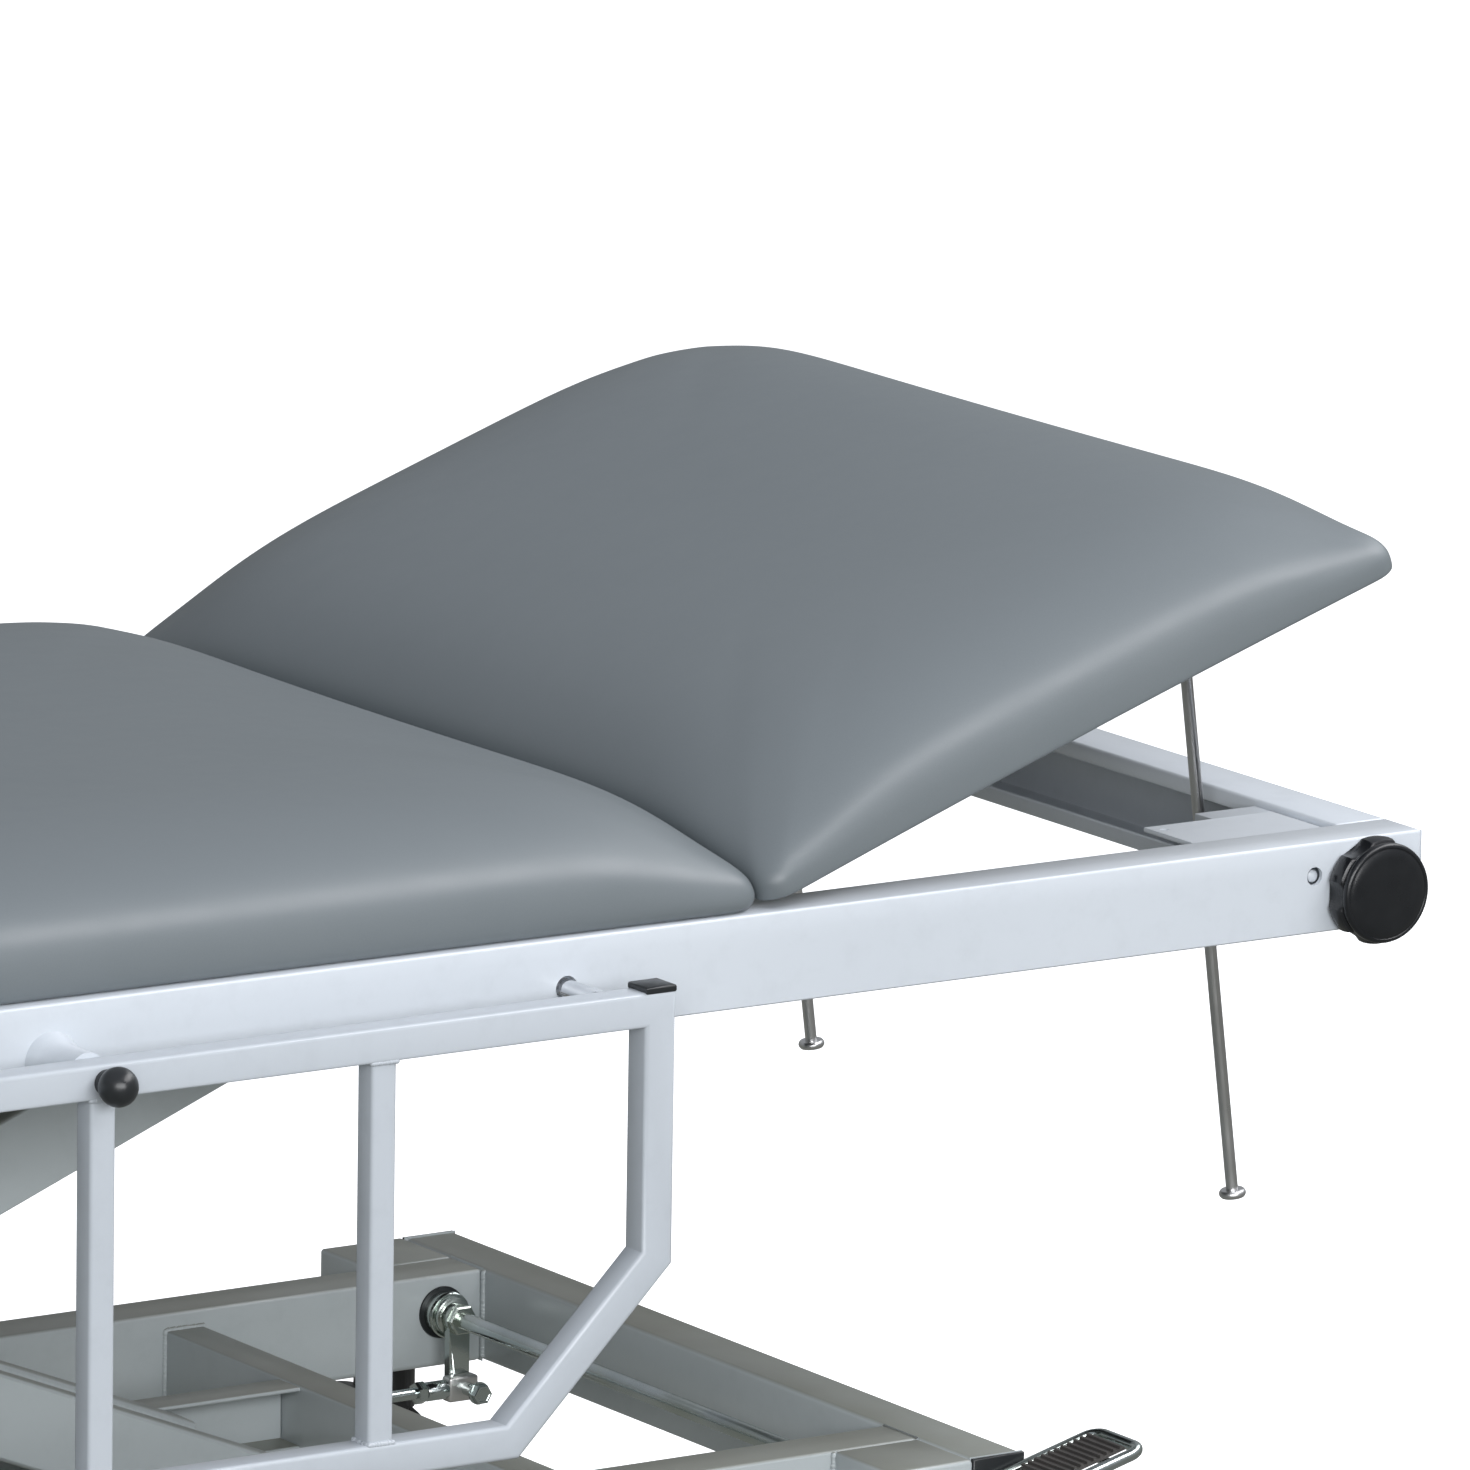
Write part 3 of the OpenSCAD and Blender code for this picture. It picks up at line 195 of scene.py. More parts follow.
def powder_coat(name, light, dark, rough, top_face_shade=None):
    """Sprayed paint with faint patches and specks, and painted shade of the given darker colour on its upper faces.
    """
    f = Finish(name, IOR=1.5, Coat_Weight=0.25, Coat_Roughness=0.2)
    patches = f.ramp(f.noise(3.0, 4.0), 0.0, 1.0, 0.35, 0.65)
    specks = f.ramp(f.noise(45.0, 5.0, 0.65), 0.0, 0.25, 0.5, 0.75)
    tone = f.mix(specks, f.mix(patches, light, dark), [c * 0.82 for c in dark])
    # Upward faces are painted darker in the given colour, broken up by noise: painted shade standing in for the
    # shadow and dim reflection on them.
    if top_face_shade:
        normal = f.node("ShaderNodeTexCoord").outputs["Normal"]
        facing = f.node("ShaderNodeSeparateXYZ", Vector=normal).outputs["Z"]
        share = f.node("ShaderNodeMath", Value=0.5)
        share.operation = "MULTIPLY"
        f.feed(f.ramp(facing, 0.0, 1.0, 0.55, 0.95), share.inputs[0])
        f.feed(f.ramp(f.noise(7.0, 4.0), 0.75, 1.0), share.inputs[1])
        tone = f.mix(share.outputs[0], tone, top_face_shade)
    f.colour(tone)
    f.roughness(f.ramp(f.noise(12.0, 3.0), rough - 0.06, rough + 0.06))
    f.add_grain(f.noise(900.0, 2.0), 0.00006, 0.5)
    return f.material


def vinyl(name):
    f = Finish(name, IOR=1.5, Specular_IOR_Level=0.55)
    cells = f.node("ShaderNodeTexVoronoi", Vector=f.place, Scale=1300.0)
    cells.feature = "DISTANCE_TO_EDGE"
    creases = f.ramp(cells.outputs["Distance"], 0.0, 1.0, 0.0, 0.25)
    cloud = f.ramp(f.noise(2.2, 4.0, 0.55), 0.0, 1.0, 0.3, 0.7)
    tone = f.mix(cloud, (0.145, 0.166, 0.178), (0.155, 0.176, 0.188))
    # The grain's creases are also painted darker in the colour: painted shade in them.
    f.colour(f.mix(f.ramp(creases, 0.3, 0.0, 0.0, 1.0), tone, (0.115, 0.135, 0.146)))
    f.roughness(f.ramp(f.noise(30.0, 4.0), 0.41, 0.47))
    f.add_grain(creases, 0.00003, 0.35)
    f.add_grain(f.noise(260.0, 3.0), 0.00005, 0.3)
    return f.material


def moulded(name, light, dark, rough, grain=0.00008):
    f = Finish(name, IOR=1.5)
    f.colour(f.mix(f.ramp(f.noise(25.0, 4.0), 0.0, 1.0), light, dark))
    f.roughness(f.ramp(f.noise(60.0, 3.0), rough - 0.08, rough + 0.08))
    f.add_grain(f.noise(1400.0, 2.0), grain, 0.6)
    return f.material


def steel(name, light, dark, rough, stretch=(1.0, 1.0, 1.0), tint=None):
    f = Finish(name, metallic=1.0)
    tone = f.mix(f.ramp(f.noise(14.0, 4.0), 0.0, 1.0), light, dark)
    if tint:
        tone = f.mix(f.ramp(f.noise(9.0, 2.0, distortion=1.5), 0.0, 0.6, 0.45, 0.7), tone, tint)
    f.colour(tone)
    f.roughness(f.ramp(f.noise(40.0, 3.0), rough - 0.07, rough + 0.07))
    f.add_grain(f.noise(500.0, 3.0, 0.6, stretch), 0.00004, 0.5)
    return f.material


def board_wood(name):
    f = Finish(name)
    rings = f.node("ShaderNodeTexWave", Vector=f.place, Scale=6.0, Distortion=7.0, Detail=3.0)
    f.colour(f.mix(rings.outputs["Fac"], (0.02, 0.022, 0.024), (0.035, 0.036, 0.037)))
    f.roughness(f.ramp(f.noise(80.0, 3.0), 0.7, 0.85))
    f.add_grain(f.noise(700.0, 3.0), 0.0001, 0.6)
    return f.material


MATERIALS = {
    "frame_paint": powder_coat("frame_paint", (0.56, 0.6, 0.645), (0.54, 0.58, 0.625), 0.36),
    # The base paint's last colour is painted shade on its upper faces.
    "base_paint": powder_coat("base_paint", (0.44, 0.48, 0.49), (0.41, 0.45, 0.46), 0.38, (0.2, 0.205, 0.17)),
    "dark_paint": powder_coat("dark_paint", (0.02, 0.022, 0.025), (0.03, 0.031, 0.034), 0.3),
    # The guards' paint is the frame's paint made darker: painted shade for the lesser light that falls on the
    # guards.
    "guard_paint": powder_coat("guard_paint", (0.48, 0.517, 0.56), (0.465, 0.503, 0.545), 0.36),
    "vinyl": vinyl("vinyl"),
    "black_plastic": moulded("black_plastic", (0.011, 0.013, 0.015), (0.018, 0.02, 0.022), 0.34),
    "castor_black": moulded("castor_black", (0.012, 0.013, 0.015), (0.022, 0.023, 0.025), 0.42),
    "tyre": moulded("tyre", (0.028, 0.033, 0.042), (0.042, 0.048, 0.058), 0.62, 0.0002),
    "hub": moulded("hub", (0.5, 0.48, 0.42), (0.42, 0.41, 0.37), 0.45),
    "board": board_wood("board"),
    "dark_steel": steel("dark_steel", (0.66, 0.66, 0.665), (0.54, 0.54, 0.545), 0.34, (1.0, 1.0, 0.05)),
    "steel": steel("steel", (0.42, 0.43, 0.44), (0.32, 0.33, 0.34), 0.3, (1.0, 0.05, 1.0)),
    "gloss_black": moulded("gloss_black", (0.006, 0.007, 0.009), (0.009, 0.01, 0.012), 0.3, 0.00003),
    "bright_zinc": steel("bright_zinc", (0.72, 0.71, 0.7), (0.58, 0.58, 0.57), 0.4),
    "zinc": steel("zinc", (0.58, 0.63, 0.63), (0.4, 0.45, 0.45), 0.2, (1.0, 0.05, 1.0), (0.46, 0.5, 0.43)),
    "rubber_tread": moulded("rubber_tread", (0.075, 0.068, 0.064), (0.05, 0.047, 0.045), 0.5, 0.0002),
    "chrome": steel("chrome", (0.72, 0.73, 0.74), (0.62, 0.63, 0.65), 0.12, (1.0, 0.05, 1.0)),
}


def paint(obj, name):
    obj.data.materials.clear()
    obj.data.materials.append(MATERIALS[name])


def piece(name, bm, finish, body):
    mesh = bpy.data.meshes.new(name)
    bm.to_mesh(mesh)
    bm.free()
    obj = bpy.data.objects.new(name, mesh)
    scene.collection.objects.link(obj)
    paint(obj, finish)
    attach(obj, body)
    return obj


def settled(obj):
    """Applies an object's modifiers, so that its mesh is plain."""
    plain = bpy.data.meshes.new_from_object(obj.evaluated_get(bpy.context.evaluated_depsgraph_get()))
    obj.modifiers.clear()
    obj.data = plain


def soften(bm):
    """Turns a closed skin's faces outwards and gives them soft shading."""
    bmesh.ops.recalc_face_normals(bm, faces=bm.faces)
    for f in bm.faces:
        f.smooth = True


# Folded, welded and machined nodes, with their edges rounded as folding and grinding leave them

def rounded(node, radius, shortest=0.006):
    """A merged copy of a node's mesh that stands for the node, its long sharp edges rounded."""
    bm = bmesh.new()
    bm.from_mesh(frame["nodes"][node].data)
    bmesh.ops.remove_doubles(bm, verts=bm.verts, dist=2e-6)
    bmesh.ops.dissolve_limit(bm, angle_limit=math.radians(0.5), verts=bm.verts, edges=bm.edges)
    weights = bm.edges.layers.float.new("bevel_weight_edge")
    for e in bm.edges:
        if len(e.link_faces) == 2 and e.calc_face_angle(0.0) > math.radians(35) and e.calc_length() > shortest:
            e[weights] = 1.0
    obj = piece("soft_" + node, bm, SLOT_OF[node], BODY_OF[node])
    if radius > 0.0:
        bevel = obj.modifiers.new("edges", "BEVEL")
        bevel.width = radius
        bevel.segments = 2
        bevel.limit_method = "WEIGHT"
        bevel.use_clamp_overlap = False
        settled(obj)
    for f in obj.data.polygons:
        f.use_smooth = True
    obj.data.set_sharp_from_angle(angle=math.radians(SHARP_FROM))
    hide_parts(node)


# Cushions: crowned closed forms wrapped round their boards, swollen by a short cloth simulation

# Inset from the cushion's outline and height above the board's underside, in millimetres. The cover goes
# from the board's edge round the tuck, which each cushion scales by a share of its own, and up to the crown.
EDGE_START = (12, 0)
EDGE_TUCK = [(7, 0), (3, 3), (0.8, 9)]
EDGE_PROFILE = [(0, 17), (0.8, 26), (3.5, 35), (9, 43), (17, 49.5), (28, 55.5), (44, 61.5),
                (66, 67), (100, 72), (150, 75.2), (200, 76)]


def smooth_profile(points, parts):
    """The points with others between them on a Catmull-Rom curve."""
    out = []
    for i in range(len(points) - 1):
        p0, p1, p2, p3 = (Vector(points[min(max(i + k, 0), len(points) - 1)]) for k in (-1, 0, 1, 2))
        for j in range(parts):
            t = j / parts
            bend = 2 * p0 - 5 * p1 + 4 * p2 - p3 + t * (3 * (p1 - p2) + p3 - p0)
            out.append(p1 + 0.5 * t * ((p2 - p0) + t * bend))
    return out + [Vector(points[-1])]


def cushion_ring(half_l, half_w, radius, draws, along, across, arc=3):
    """Points round a rectangle with rounded corners, each side drawn in by its draw: far, foot, near, head."""
    corners = [(half_l - radius, half_w - radius), (radius - half_l, half_w - radius),
               (radius - half_l, radius - half_w), (half_l - radius, radius - half_w)]

    def on_arc(i, degrees):
        a = math.radians(90 * i + degrees)
        return Vector((corners[i][0] + radius * math.cos(a), corners[i][1] + radius * math.sin(a)))
    ring = []
    for i in range(4):
        count = (along if i % 2 == 0 else across) - 2 * arc
        p, q = on_arc(i, 90), on_arc((i + 1) % 4, 0)
        inward = Vector(((p - q).y, (q - p).x)).normalized()
        ring += [on_arc(i, 45 + 45 * k / arc) for k in range(arc)]
        for k in range(count + 1):
            ring.append(p + (q - p) * (k / count) + inward * draws[i] * 4 * (k / count) * (1 - k / count))
        ring += [on_arc((i + 1) % 4, 45 * k / arc) for k in range(1, arc)]
    return ring


def fill_grid(bm, ring, along, across, height, flip):
    """Fills a ring with a grid of quads whose places are blended from its four sides."""
    def blend(start, end, share):
        return start.co * (1 - share) + end.co * share
    top = [ring[along - i] for i in range(along + 1)]
    left = [ring[along + across - j] for j in range(across + 1)]
    bottom = [ring[along + across + i] for i in range(along + 1)]
    right = [ring[(2 * along + across + j) % len(ring)] for j in range(across + 1)]
    grid = [[None] * (across + 1) for _ in range(along + 1)]
    for i in range(along + 1):
        grid[i][0], grid[i][across] = bottom[i], top[i]
    for j in range(across + 1):
        grid[0][j], grid[along][j] = left[j], right[j]
    for i in range(1, along):
        for j in range(1, across):
            s = (bottom[i].co.x - bottom[0].co.x) / (bottom[along].co.x - bottom[0].co.x)
            t = (left[j].co.y - left[0].co.y) / (left[across].co.y - left[0].co.y)
            p = bottom[i].co * (1 - t) + top[i].co * t + left[j].co * (1 - s) + right[j].co * s
            p -= blend(bottom[0], bottom[along], s) * (1 - t) + blend(top[0], top[along], s) * t
            grid[i][j] = bm.verts.new((p.x, p.y, height(p.x, p.y)))
    for i in range(along):
        for j in range(across):
            quad = [grid[i][j], grid[i + 1][j], grid[i + 1][j + 1], grid[i][j + 1]]
            bm.faces.new(quad[::-1] if flip else quad)


def cushion_mesh(x0, x1, half_w, z0, pocket_top, full, tuck, draws, along, across):
    """A cushion lying flat, round the pocket for its board. The crown is lower near the corners, where
    the cover is drawn tight, and swells a little in the middle."""
    half_l, mid = (x1 - x0) / 2, (x0 + x1) / 2
    corner, corner_drop, corner_reach, middle_swell = 0.018, 0.42, 0.085, 0.003
    pocket_inset, pocket_corner = 0.0217, 0.011

    def height(rise, x, y):
        far = math.hypot(half_l - abs(x - mid), half_w - abs(y))
        swell = middle_swell * (1 - ((x - mid) / half_l) ** 2) * (1 - (y / half_w) ** 2)
        return z0 + rise * (full * (1 - corner_drop * math.exp(-(far / corner_reach) ** 2)) + swell / CROWN)

    bm = bmesh.new()
    creases = bm.edges.layers.float.new("crease_edge")
    rim = cushion_ring(half_l - pocket_inset, half_w - pocket_inset, pocket_corner, (0.0,) * 4, along, across)
    rings = [[bm.verts.new((mid + p.x, p.y, z)) for p in rim] for z in (pocket_top, z0)]
    profile = [EDGE_START] + [(i * tuck, r * tuck) for i, r in EDGE_TUCK] + EDGE_PROFILE
    for inset, rise in smooth_profile(profile, 2):
        d = inset / 1000
        radius = min(corner + d * 0.2, 0.75 * (min(half_l, half_w) - d))
        ring = cushion_ring(half_l - d, half_w - d, radius, draws, along, across)
        up = max(rise, 0.0) / 1000
        rings.append([bm.verts.new((mid + p.x, p.y, height(up, mid + p.x, p.y))) for p in ring])
    m = len(rings[0])
    for k, (a, b) in enumerate(zip(rings, rings[1:])):
        for i in range(m):
            bm.faces.new((a[i], a[(i + 1) % m], b[(i + 1) % m], b[i]))
        if k == 0:
            for ring in (a, b):
                for i in range(m):
                    bm.edges.get((ring[i], ring[(i + 1) % m]))[creases] = 1.0
    fill_grid(bm, rings[-1], along, across, lambda x, y: height(CROWN, x, y), False)
    fill_grid(bm, rings[0], along, across, lambda x, y: pocket_top, True)
    bmesh.ops.recalc_face_normals(bm, faces=bm.faces)
    return bm


def swollen(obj, z0, cap):
    """Lets a pressure cloth settle, with its underside held. No point moves further than the cap, and
    each one's move is evened out with those beside it."""
    frames, held_up_to, loosens_over = 16, 0.009, 0.008
    start = [v.co.copy() for v in obj.data.vertices]
    held = obj.vertex_groups.new(name="held")
    for v in obj.data.vertices:
        hold = min(1.0, max(0.0, 1.0 - (v.co.z - z0 - held_up_to) / loosens_over))
        if hold > 0.0:
            held.add([v.index], hold, "REPLACE")
    cloth = obj.modifiers.new("cloth", "CLOTH")
    cloth.settings.quality = 5
    cloth.settings.use_pressure = True
    cloth.settings.uniform_pressure_force = 4.0
    cloth.settings.tension_stiffness = 25
    cloth.settings.compression_stiffness = 25
    cloth.settings.bending_stiffness = 2.0
    cloth.settings.vertex_group_mass = "held"
    cloth.settings.effector_weights.gravity = 0.0
    cloth.collision_settings.use_collision = False
    cloth.point_cache.frame_start, cloth.point_cache.frame_end = 1, frames
    for f in range(1, frames + 1):
        scene.frame_set(f)
    settled(obj)
    scene.frame_set(1)
    beside = [[] for _ in start]
    for e in obj.data.edges:
        a, b = e.vertices
        beside[a].append(b)
        beside[b].append(a)
    moves = [v.co - s for v, s in zip(obj.data.vertices, start)]
    moves = [m * min(1.0, cap / max(m.length, 1e-9)) for m in moves]
    for _ in range(12):
        moves = [(m + sum((moves[j] for j in near), Vector()) / len(near)) / 2
                 for m, near in zip(moves, beside)]
    for v, s, move in zip(obj.data.vertices, start, moves):
        v.co = s + move


def make_cushion(node, body, x0, x1, tilt, full, tuck, draws, along, across):
    """The cushion for a node, drawn flat from x0 to x1 and then tilted. Where the cloth step runs, the
    mesh starts narrower and with a higher crown by a slack, for the cloth swells its sides and settles
    on its crown."""
    slack = 0.0012
    seat, pocket, cloth_reach = 0.0003, 0.0095, 0.0018
    z0 = FRAME_TOP + seat
    bm = cushion_mesh(x0 + slack, x1 - slack, CUSHION_HALF_WIDTH - slack, z0, z0 + pocket,
                      full + slack / CROWN, tuck, draws, along, across)
    obj = piece(node.replace("cushion", "pad"), bm, "vinyl", body)
    swollen(obj, z0, cloth_reach)
    obj.data.transform(head_turn(tilt))
    smooth = obj.modifiers.new("smooth", "SUBSURF")
    smooth.levels = smooth.render_levels = 1
    settled(obj)
    for f in obj.data.polygons:
        f.use_smooth = True
    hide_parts(node)


def head_turn(degrees):
    """The head section's turn about its hinge, by which pieces drawn level are raised."""
    hinge = Vector((HINGE_X, 0.0, HINGE_Z))
    raised = Matrix.Rotation(-math.radians(degrees), 4, "Y")
    return Matrix.Translation(hinge) @ raised @ Matrix.Translation(-hinge)


# What repeats: weld ripples, fasteners and staples, each placed on points by a geometry tree

class Tree:
    def __init__(self, name, sizes):
        self.group = bpy.data.node_groups.new(name, "GeometryNodeTree")
        self.group.interface.new_socket("Geometry", in_out="INPUT", socket_type="NodeSocketGeometry")
        for label, value in sizes.items():
            socket = self.group.interface.new_socket(label, in_out="INPUT", socket_type="NodeSocketFloat")
            socket.default_value = value
        self.group.interface.new_socket("Geometry", in_out="OUTPUT", socket_type="NodeSocketGeometry")
        self.given = self.group.nodes.new("NodeGroupInput").outputs

    def node(self, kind, settings=None, **inputs):
        n = self.group.nodes.new(kind)
        for key, value in (settings or {}).items():
            setattr(n, key, value)
        for label, value in inputs.items():
            self.feed(value, n.inputs[label.replace("_", " ")])
        return n

    def feed(self, value, socket):
        if isinstance(value, bpy.types.NodeSocket):
            self.group.links.new(value, socket)
        else:
            socket.default_value = value

    def times(self, value, factor):
        n = self.node("ShaderNodeMath", {"operation": "MULTIPLY"})
        self.feed(value, n.inputs[0])
        self.feed(factor, n.inputs[1])
        return n.outputs[0]

    def times_plus(self, value, factor, added):
        n = self.node("ShaderNodeMath", {"operation": "MULTIPLY_ADD"})
        for k, term in enumerate((value, factor, added)):
            self.feed(term, n.inputs[k])
        return n.outputs[0]

    def offset(self, geometry, z):
        place = self.node("ShaderNodeCombineXYZ", Z=z).outputs[0]
        return self.node("GeometryNodeTransform", Geometry=geometry, Translation=place).outputs["Geometry"]

    def join(self, *parts):
        n = self.group.nodes.new("GeometryNodeJoinGeometry")
        for part in parts:
            self.group.links.new(part, n.inputs["Geometry"])
        return n.outputs["Geometry"]

    def end(self, geometry, finish):
        real = self.node("GeometryNodeRealizeInstances", Geometry=geometry).outputs["Geometry"]
        done = self.node("GeometryNodeSetMaterial", Geometry=real, Material=MATERIALS[finish])
        self.group.links.new(done.outputs["Geometry"],
                             self.group.nodes.new("NodeGroupOutput").inputs["Geometry"])
        return self.group


def random_scale(tree, low, high, seed):
    n = tree.node("FunctionNodeRandomValue", {"data_type": "FLOAT"}, Seed=seed)
    n.inputs[2].default_value, n.inputs[3].default_value = low, high
    return n.outputs[1]


def weld_tree(finish):
    """Small round ripples along a path, each overlapping the one before."""
    t = Tree("weld_" + finish, {"Ripple radius": 0.0022, "Ripple pitch": 0.0016})
    path = t.node("GeometryNodeMeshToCurve", Mesh=t.given["Geometry"]).outputs["Curve"]
    points = t.node("GeometryNodeResampleCurve", Curve=path)
    points.mode = "LENGTH"
    t.feed(t.given["Ripple pitch"], points.inputs["Length"])
    ball = t.node("GeometryNodeMeshIcoSphere", Radius=t.given["Ripple radius"], Subdivisions=2)
    ripple = t.node("GeometryNodeSetShadeSmooth", Geometry=ball.outputs["Mesh"]).outputs["Geometry"]
    beads = t.node("GeometryNodeInstanceOnPoints", Points=points.outputs["Curve"], Instance=ripple,
                   Scale=random_scale(t, 0.85, 1.1, 7)).outputs["Instances"]
    return t.end(beads, finish)


def hex_head_tree(finish):
    """A bevelled hexagon head on its washer, standing along each point's axis."""
    t = Tree("hex_head_" + finish, {"Head radius": 0.0075, "Head height": 0.0055, "Washer radius": 0.0095,
                                    "Washer thickness": 0.0014})
    radius, tall, thin = t.given["Head radius"], t.given["Head height"], t.given["Washer thickness"]
    body = t.node("GeometryNodeMeshCylinder", Vertices=6, Radius=radius, Depth=t.times(tall, 0.8))
    top = t.node("GeometryNodeMeshCone", Vertices=6, Radius_Bottom=radius, Radius_Top=t.times(radius, 0.84),
                 Depth=t.times(tall, 0.2))
    washer = t.node("GeometryNodeMeshCylinder", Vertices=24, Radius=t.given["Washer radius"], Depth=thin)
    washer = t.offset(washer.outputs["Mesh"], t.times(thin, 0.5))
    body = t.offset(body.outputs["Mesh"], t.times_plus(tall, 0.4, thin))
    top = t.offset(top.outputs["Mesh"], t.times_plus(tall, 0.8, thin))
    return placed(t, t.join(washer, body, top), finish)


def domed_head_tree(finish):
    """A low plain domed head on its rim."""
    t = Tree("domed_head_" + finish, {"Head radius": 0.0045, "Head height": 0.0022})
    radius, tall = t.given["Head radius"], t.given["Head height"]
    dome = t.node("GeometryNodeMeshUVSphere", Segments=20, Rings=10, Radius=radius).outputs["Mesh"]
    flat = t.node("ShaderNodeMath", {"operation": "DIVIDE"})
    t.feed(tall, flat.inputs[0])
    t.feed(radius, flat.inputs[1])
    squash = t.node("ShaderNodeCombineXYZ", X=1.0, Y=1.0, Z=flat.outputs[0]).outputs[0]
    dome = t.node("GeometryNodeTransform", Geometry=dome, Scale=squash).outputs["Geometry"]
    dome = t.node("GeometryNodeSetShadeSmooth", Geometry=dome).outputs["Geometry"]
    rim = t.node("GeometryNodeMeshCylinder", Vertices=20, Radius=radius, Depth=t.times(tall, 0.3))
    return placed(t, t.join(dome, rim.outputs["Mesh"]), finish)


def staple_tree(finish):
    """The crown of a wire staple, whose legs are in the board."""
    t = Tree("staple_" + finish, {"Crown": 0.01, "Wire": 0.0005})
    line = t.node("GeometryNodeCurvePrimitiveLine")
    ends = [t.node("ShaderNodeCombineXYZ", X=t.times(t.given["Crown"], k)).outputs[0] for k in (-0.5, 0.5)]
    for socket, end in zip(("Start", "End"), ends):
        t.feed(end, line.inputs[socket])
    wire = t.node("GeometryNodeCurvePrimitiveCircle", Radius=t.given["Wire"], Resolution=6).outputs["Curve"]
    bar = t.node("GeometryNodeCurveToMesh", Curve=line.outputs["Curve"], Profile_Curve=wire)
    bar.inputs["Fill Caps"].default_value = True
    return placed(t, bar.outputs["Mesh"], finish)


def placed(tree, instance, finish):
    """Stands the instance on every point, its Z along the point's axis and turned by the point's spin."""
    axis = tree.node("GeometryNodeInputNamedAttribute", {"data_type": "FLOAT_VECTOR"}, Name="axis").outputs[0]
    spin = tree.node("GeometryNodeInputNamedAttribute", {"data_type": "FLOAT"}, Name="spin").outputs[0]
    turn = tree.node("FunctionNodeAlignRotationToVector", {"axis": "Z"}, Vector=axis).outputs[0]
    own = tree.node("ShaderNodeCombineXYZ", Z=spin).outputs[0]
    extra = tree.node("FunctionNodeEulerToRotation", Euler=own).outputs[0]
    both = tree.node("FunctionNodeRotateRotation", {"rotation_space": "LOCAL"}, Rotation=turn, Rotate_By=extra)
    out = tree.node("GeometryNodeInstanceOnPoints", Points=tree.given["Geometry"], Instance=instance,
                    Rotation=both.outputs[0]).outputs["Instances"]
    return tree.end(out, finish)


def grown(name, body, finish, tree, points, edges=(), axes=(), spins=(), **sizes):
    """Runs a tree on points of one body, and keeps its result as a plain mesh. Each point has an axis and
    a spin where the tree stands a piece on it."""
    mesh = bpy.data.meshes.new(name)
    mesh.from_pydata([tuple(p) for p in points], [tuple(e) for e in edges], [])
    if axes:
        held = mesh.attributes.new("axis", "FLOAT_VECTOR", "POINT")
        for k, axis in enumerate(axes):
            held.data[k].vector = axis
        held = mesh.attributes.new("spin", "FLOAT", "POINT")
        for k in range(len(points)):
            held.data[k].value = spins[k] if spins else 0.0
    obj = bpy.data.objects.new(name, mesh)
    scene.collection.objects.link(obj)
    growth = obj.modifiers.new("growth", "NODES")
    growth.node_group = tree
    for item in tree.interface.items_tree:
        label = item.name.lower().replace(" ", "_")
        if item.in_out == "INPUT" and label in sizes:
            growth[item.identifier] = sizes[label]
    settled(obj)
    paint(obj, finish)
    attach(obj, body)
    return obj


def loop_path(corners):
    """Points of a closed path and their edges."""
    return list(corners), [(k, (k + 1) % len(corners)) for k in range(len(corners))]


def joined(paths):
    """Several paths, each of points and edges, as one."""
    points, edges = [], []
    for some, links in paths:
        edges += [(a + len(points), b + len(points)) for a, b in links]
        points += some
    return points, edges


def seam(*points):
    """Points of an open path and their edges."""
    return [Vector(p) for p in points], [(k, k + 1) for k in range(len(points) - 1)]


def frame_of(x0, x1, z0, z1, y):
    """The four sides of a tube's end where it meets an upright face at y."""
    return loop_path([Vector((x0, y, z0)), Vector((x1, y, z0)), Vector((x1, y, z1)), Vector((x0, y, z1))])


def weld(name, body, finish, tree, paths, radius, pitch):
    points, edges = joined(paths)
    grown(name, body, finish, tree, points, edges, ripple_radius=radius, ripple_pitch=pitch)


def guard_welds(side, tree):
    """Round both ends of each inner bar."""
    y, r = SIDES[side] * GUARD_Y, 0.0088
    z_top, z_low = 0.5679, 0.3261
    paths = [loop_path([Vector((x + dx, y + dy, z)) for dx, dy in ((r, r), (-r, r), (-r, -r), (r, -r))])
             for x in GUARD_BARS for z in (z_top, z_low)]
    weld("guard_%s_welds" % side, "guard_" + side, "guard_paint", tree, paths, 0.0019, 0.001)


def base_welds(tree):
    """Up the base's corners, outside and inside, and round the cross tubes' ends."""
    z0, z1, z_tube = 0.162, 0.2195, 0.21
    outer, inner = 0.724, 0.658
    paths = []
    for s in (-1, 1):
        for x in (-outer, outer):
            paths.append(seam((x, s * 0.2425, z0), (x, s * 0.2425, z1)))
            x_in = x * (inner / outer)
            paths.append(seam((x_in, s * 0.2835, z0), (x_in, s * 0.2835, z1)))
        for x0 in CROSS_TUBES:
            paths.append(frame_of(x0, x0 + TUBE_WIDTH, z0, z_tube, s * 0.243))
    weld("base_welds", "base", "base_paint", tree, paths, 0.0022, 0.0012)


def top_welds(tree):
    """Round the cross tubes' ends and up the top frame's inner corners."""
    paths = []
    for s in (-1, 1):
        for x0 in (-0.71, *CROSS_TUBES):
            paths.append(frame_of(x0, x0 + TUBE_WIDTH, 0.5592, 0.611, s * 0.36))
        for x in (-0.99, 0.99):
            paths.append(seam((x, s * 0.3598, 0.572), (x, s * 0.3598, 0.603)))
    weld("top_frame_welds", "top_frame", "frame_paint", tree, paths, 0.002, 0.0012)


# Turned pieces: a profile of radius and place along an axis, spun and closed

def whole_turn(sides):
    return [2 * math.pi * k / sides for k in range(sides)]


def closed_rings(bm, rings):
    """Joins rings of points into a closed skin."""
    verts = [[bm.verts.new(p) for p in ring] for ring in rings]
    for a, b in zip(verts, verts[1:]):
        for k in range(len(a)):
            bm.faces.new((a[k], a[(k + 1) % len(a)], b[(k + 1) % len(a)], b[k]))
    bm.faces.new(verts[0][::-1])
    bm.faces.new(verts[-1])


